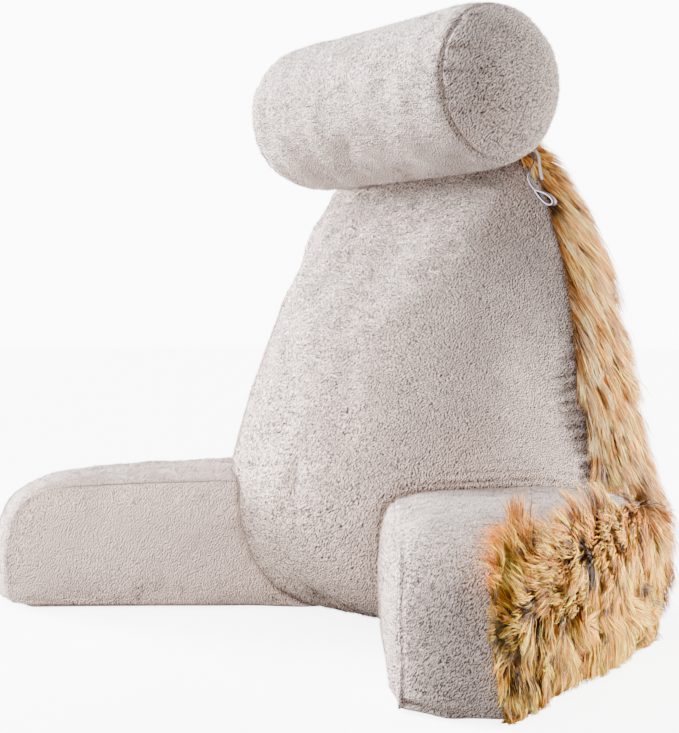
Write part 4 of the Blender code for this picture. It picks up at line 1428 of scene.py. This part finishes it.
BODY_KINDS = np.array([BROWN, GREY, GOLD, CREAM, ORANGE])
PALE_SHARES = (0.06, 0.05, 0.33, 0.50, 0.06)       # beside the front seam
WARM_SHARES = (0.09, 0.05, 0.44, 0.32, 0.10)       # towards the rear


def body_tones(spots, rng):
    cloud = 0.5 + 0.7 * noise_at(spots * np.array([1, 1, 0.35]), 0.018, 5.0)
    value = ranked(0.45 * rng.random(len(spots)) + 0.55 * cloud)
    pale = BODY_KINDS[drawn(value, PALE_SHARES)]
    warm = BODY_KINDS[[0, 1, 4, 2, 3]][drawn(value, WARM_SHARES)]
    return np.where(rng.random(len(spots)) < 1 - set_back(spots), pale, warm)


# how red, green and blue change from the front seam to the rear seam: paler beside the front seam,
# partly the fur's own paler tone and partly painted light on that side
BODY_TINT = ((0.0, 1.08, 1.02, 1.90), (0.35, 1.04, 0.98, 1.30), (0.6, 1.00, 0.92, 0.86),
             (1.0, 0.86, 0.68, 0.42))


def body_tint(roots):
    rows = np.array(BODY_TINT)
    return np.stack([np.interp(set_back(roots), rows[:, 0], rows[:, k]) for k in (1, 2, 3)], 1)


def body_denser(tri, spots):
    return 1 + 1.2 * np.clip(1 - set_back(spots) * 4, 0, 1)


# locks: strands in each lock and how far they gather, then the same for the tufts of locks; edge:
# how much painted shade darkens a lock's edge
BODY_COAT = dict(lay=body_lay, length=body_length, rise=body_rise, tones=body_tones,
                 tint=body_tint, denser=body_denser, stray=0.12, curl=0.0028,
                 locks=((12, 0.66), (60, 0.50)), width=0.00115, mixed=0.30,
                 shares=(0.38, 0.20, 0.26, 0.11, 0.05), guard=0.16, soft=0.55, edge=1.00)


def side_of(sign):
    def chosen(tri):
        pts_x = BODY_POINTS[tri][:, :, 0].mean(1)
        kind = body_kind[tri].max(1)
        if sign == 0:
            return coat_faces(tri) & (kind > 2.02)
        return coat_faces(tri) & (kind <= 2.02) & (pts_x * sign > 0)
    return chosen


coat_skin("back_coat", body_base, coat_faces, 0.004, 2.0, BACK_UNDERFUR, ["back_fur"])
for name, sign, count in (("back_fur_rear", 0, 19000), ("back_fur_left", 1, 33000),
                          ("back_fur_right", -1, 10000)):
    fur(name, body_base, side_of(sign), int(count * DENSE), BODY_COAT, rng, FUR,
        ["back_fur"])

body_tree = surface_of(backrest)


def outside_body(roots):
    keep = []
    for root in roots:
        spot, normal, _, _ = body_tree.find_nearest(Vector(root))
        keep.append((Vector(root) - spot).dot(normal) > -0.001)
    return np.array(keep)


def arm_outer(tri):
    return arm_kind[tri].min(1) >= 2.0


def upper_corner(roots):
    """1 at the upper front corner of an arm."""
    return ramp(along_arm(roots), 0.72, 0.18) * ramp(roots[:, 2], 0.07, 0.05)


def fan(roots):
    """How far the near arm's fur is turned from down, through forward, to up at its top edge."""
    height = ramp(roots[:, 2] + 0.030 * upper_corner(roots), 0.045, 0.115)
    back = ramp(along_arm(roots), -0.05, 0.25)
    return height ** (1.3 + 1.2 * (1 - along_arm(roots))) * (roots[:, 0] > 0) * back


def arm_lay(roots, out):
    """Tousled: down on the whole, fanned forward and up towards the near top edge."""
    level = np.zeros(len(roots))
    ahead = unit(np.stack([0.23 * np.sign(roots[:, 0]), level - 1.0, level], 1))
    share, turned = along_arm(roots), fan(roots)
    front = ramp(share, 0.84, 0.16) * (1 - turned)
    parted = 0.60 * np.clip((share - 0.55) / 0.25, -1, 1) * (1 - turned)
    turn = (0.80 + 0.14 * upper_corner(roots)) * math.pi * turned + parted
    turn += 0.25 * front - 0.35 * ramp(share, 0.30, -0.30)
    tousle = noise_at(roots, 0.034, 15.0) * 2.2 + noise_at(roots, 0.014, 19.0) * 1.5
    turn += tousle * (1 - 0.5 * np.maximum(turned, front))
    return np.array([[0, 0, -1.0]]) * np.cos(turn)[:, None] + ahead * np.sin(turn)[:, None]


def arm_length(roots):
    low = ramp(roots[:, 2], 0.050, -0.04)
    top = ramp(roots[:, 2], 0.115, 0.03)
    front = ramp(along_arm(roots), 0.86, 0.14) * (1 - top)
    near = 1 + 0.30 * top + 0.40 * upper_corner(roots)
    far = 0.85 * (1 - 0.62 * upper_corner(roots))
    return 0.042 * (1 - 0.30 * low) * (1 - 0.45 * front) * np.where(roots[:, 0] > 0, near, far)


def arm_rise(roots):
    top = ramp(roots[:, 2], 0.120, 0.03)
    tuft = 0.9 * noise_at(roots, 0.018, 23.0)
    far_rise = 0.45 * (1 - 0.75 * np.maximum(top, upper_corner(roots)))
    return np.where(roots[:, 0] > 0, 0.55, far_rise) * (1 + tuft)


def arm_tones(spots, rng):
    cloud = 0.5 + 1.2 * noise_at(spots, 0.024, 5.0)
    value = ranked(0.35 * rng.random(len(spots)) + 0.65 * cloud)
    kinds = np.array([BROWN, ORANGE, GOLD, CREAM, GREY])[
        drawn(value, (0.12, 0.20, 0.38, 0.26, 0.04))]
    return np.where((kinds == ORANGE) & (along_arm(spots) > 0.88), GOLD, kinds)


def arm_tint(roots):
    high = ramp(roots[:, 2], 0.09, 0.06)[:, None]
    return np.array([[1.02, 1.00, 0.70]]) * (1 - high) + np.array([[0.86, 0.75, 0.42]]) * high


# edge: how much painted shade darkens a lock's edge
ARM_COAT = dict(lay=arm_lay, length=arm_length, rise=arm_rise, tones=arm_tones,
                tint=arm_tint, stray=0.20, curl=0.0042, locks=((14, 0.68), (80, 0.58)),
                width=0.00115, mixed=0.25, shares=(0.38, 0.20, 0.26, 0.12, 0.04), guard=0.15,
                soft=0.50, edge=1.00)

for label, mesh, count in (("left", arm_base["left"], 30000), ("right", arm_base["right"], 11000)):
    node = "arm_" + label + "_fur"
    coat_skin("arm_" + label + "_coat", mesh, arm_outer, 0.003, 4.0, ARM_UNDERFUR,
              [node])
    fur("arm_" + label + "_fur_pile", mesh, arm_outer, int(count * DENSE), ARM_COAT, rng, FUR,
        [node], tuck=outside_body)


# ---- short pile -------------------------------------------------------------------------------
PARTED = 0.40              # no pile grows where a seam's mark of painted shade is darker than this


def pile_on(name, thing, count, material, direction, slot, node, chosen, tuft_shade_spread):
    # sewn holds the painted shade marks of seams, folds, joins and faces turned from the light
    pts, sewn = coords(thing.data), painted_shade_marks_of(thing.data)
    return pile(name, thing.data,
                lambda tri: chosen(pts[tri].mean(1)) & (sewn[tri].mean(1) < PARTED),
                int(count * DENSE), direction, rng, material, [node], sewn, tuft_shade_spread)


def on_front(c):
    return (c[:, 2] > 0.004) & ~behind_front(c, np.where(c[:, 0] < 0, 0.012, 0.002))


def off_floor(c):
    return c[:, 2] > 0.004


def body_tuft_shade_spread(roots):
    """More painted tuft shade on the near side than on the far one, in soft patches."""
    return np.clip(0.45 + 1.6 * roots[:, 0] + 0.5 * noise_at(roots, 0.06, 31.0), 0, 1)


def arm_tuft_shade_spread(roots):
    # more painted tuft shade on the near arm, most at its front; a middling share on the far arm
    front = ramp(along_arm(roots), 0.80, 0.12)
    return np.where(roots[:, 0] > 0, 0.25 + 0.75 * front, 0.45)


def roll_tuft_shade_spread(roots):
    # painted tuft shade on the roll's ends, none on its barrel
    ahead = (roots - np.array([0.0, SHIFT_Y, ROLL_HEIGHT])) @ roll_axis()
    return np.clip((np.abs(ahead) - 0.5 * ROLL_LENGTH + 0.006) / 0.008, 0, 1)


for row in (
        ("backrest_pile", backrest, 70000, BODY_PILE, PANEL_LAY, "short_plush", "backrest",
         on_front, body_tuft_shade_spread),
        ("arm_left_pile", arm_left, 34000, ARM_PILE, ARM_LAY, "arm_plush", "arm_left",
         off_floor, arm_tuft_shade_spread),
        ("arm_right_pile", arm_right, 30000, ARM_PILE, ARM_LAY, "arm_plush", "arm_right",
         off_floor, arm_tuft_shade_spread),
        ("neck_roll_pile", neck_roll, 46000, ROLL_PILE, ROLL_LAY, "roll_plush", "neck_roll",
         off_floor, roll_tuft_shade_spread)):
    pile_on(*row)

build_ribbon(RIBBON)

# ---- stage ------------------------------------------------------------------------------------
STUDIO_WHITE, STUDIO_LIGHT = 11.0, 0.46
FLOOR_WHITE, FLOOR_GLOW, FLOOR_BOUNCE = 0.95, 6.0, 0.33


def by_camera(tree, seen, lit):
    """One value where the camera looks straight at it, another where it lights the rest."""
    path = add_node(tree, "LightPath")
    return add_node(tree, "Mix", {"Factor": path.outputs["Is Camera Ray"], "A": lit, "B": seen},
                    data_type="FLOAT").outputs["Result"]


floor_mat, floor_tree, floor_shader = base_material("pale_floor", 0.60, 0.0, 0.5, 0.25)
tone_value = by_camera(floor_tree, FLOOR_WHITE, FLOOR_BOUNCE)
floor_tone = add_node(floor_tree, "CombineColor",
                      {channel: tone_value for channel in ("Red", "Green", "Blue")})
floor_tree.links.new(floor_tone.outputs["Color"], floor_shader["Base Color"])
floor_shader["Emission Color"].default_value = (1, 1, 1, 1)
floor_tree.links.new(by_camera(floor_tree, FLOOR_GLOW, 0.0), floor_shader["Emission Strength"])
bpy.ops.mesh.primitive_plane_add(size=60.0, location=(0, 0, -0.0005))
floor = bpy.context.object
floor.name = "studio_floor"
floor.data.materials.append(floor_mat)

world = bpy.data.worlds.new("studio")
world.use_nodes = True
backdrop = world.node_tree.nodes["Background"].inputs
backdrop["Color"].default_value = (1, 1, 1, 1)
world.node_tree.links.new(by_camera(world.node_tree, STUDIO_WHITE, STUDIO_LIGHT),
                          backdrop["Strength"])
bpy.context.scene.world = world


def soft_sun(name, come_from, strength, spread, colour=(1, 1, 1)):
    data = bpy.data.lights.new(name, "SUN")
    data.energy, data.angle, data.color = strength, math.radians(spread), colour
    in_scene(name, data).rotation_euler = Vector(come_from).to_track_quat("Z", "Y").to_euler()


def soft_card(name, place, aim, size, power, spread, colour):
    data = bpy.data.lights.new(name, "AREA")
    data.shape, data.size, data.energy, data.color = "DISK", size, power, colour
    data.spread = math.radians(spread)
    lamp = in_scene(name, data)
    lamp.location = place
    lamp.rotation_euler = (Vector(aim) - Vector(place)).to_track_quat("-Z", "Y").to_euler()


soft_sun("window_side", (-0.962, -0.15, 0.125), 50.0, 26)
soft_sun("other_side", (0.28, 0.92, 0.27), 10.5, 40, (1.0, 0.95, 0.87))
soft_sun("overhead", (-0.12, -0.32, 0.92), 2.9, 60)
soft_card("warm_card", (-0.10, -0.95, 0.42), (-0.16, -0.10, 0.14), 0.4, 3.4, 75,
          (1.0, 0.90, 0.80))
soft_card("fur_card", (1.05, 0.80, 0.34), (0.28, 0.16, 0.30), 0.35, 2.1, 36, (1.0, 0.95, 0.88))
soft_card("arm_card", (1.15, 0.55, 0.30), (0.40, -0.08, 0.10), 0.35, 1.4, 30, (1.0, 0.95, 0.88))

# ---- camera -----------------------------------------------------------------------------------
CAMERA_AT = (1.24766, -1.31988 + SHIFT_Y, 0.34864)
CAMERA_TURN = 45.667
CAMERA_DIP = 1.2656
cam_data = bpy.data.cameras.new("camera")
cam_data.lens = 70.013
cam_data.sensor_width = 36.0
camera = in_scene("camera", cam_data)
camera.location = CAMERA_AT
camera.rotation_euler = (math.radians(90 - CAMERA_DIP), 0, math.radians(CAMERA_TURN))
bpy.context.scene.camera = camera
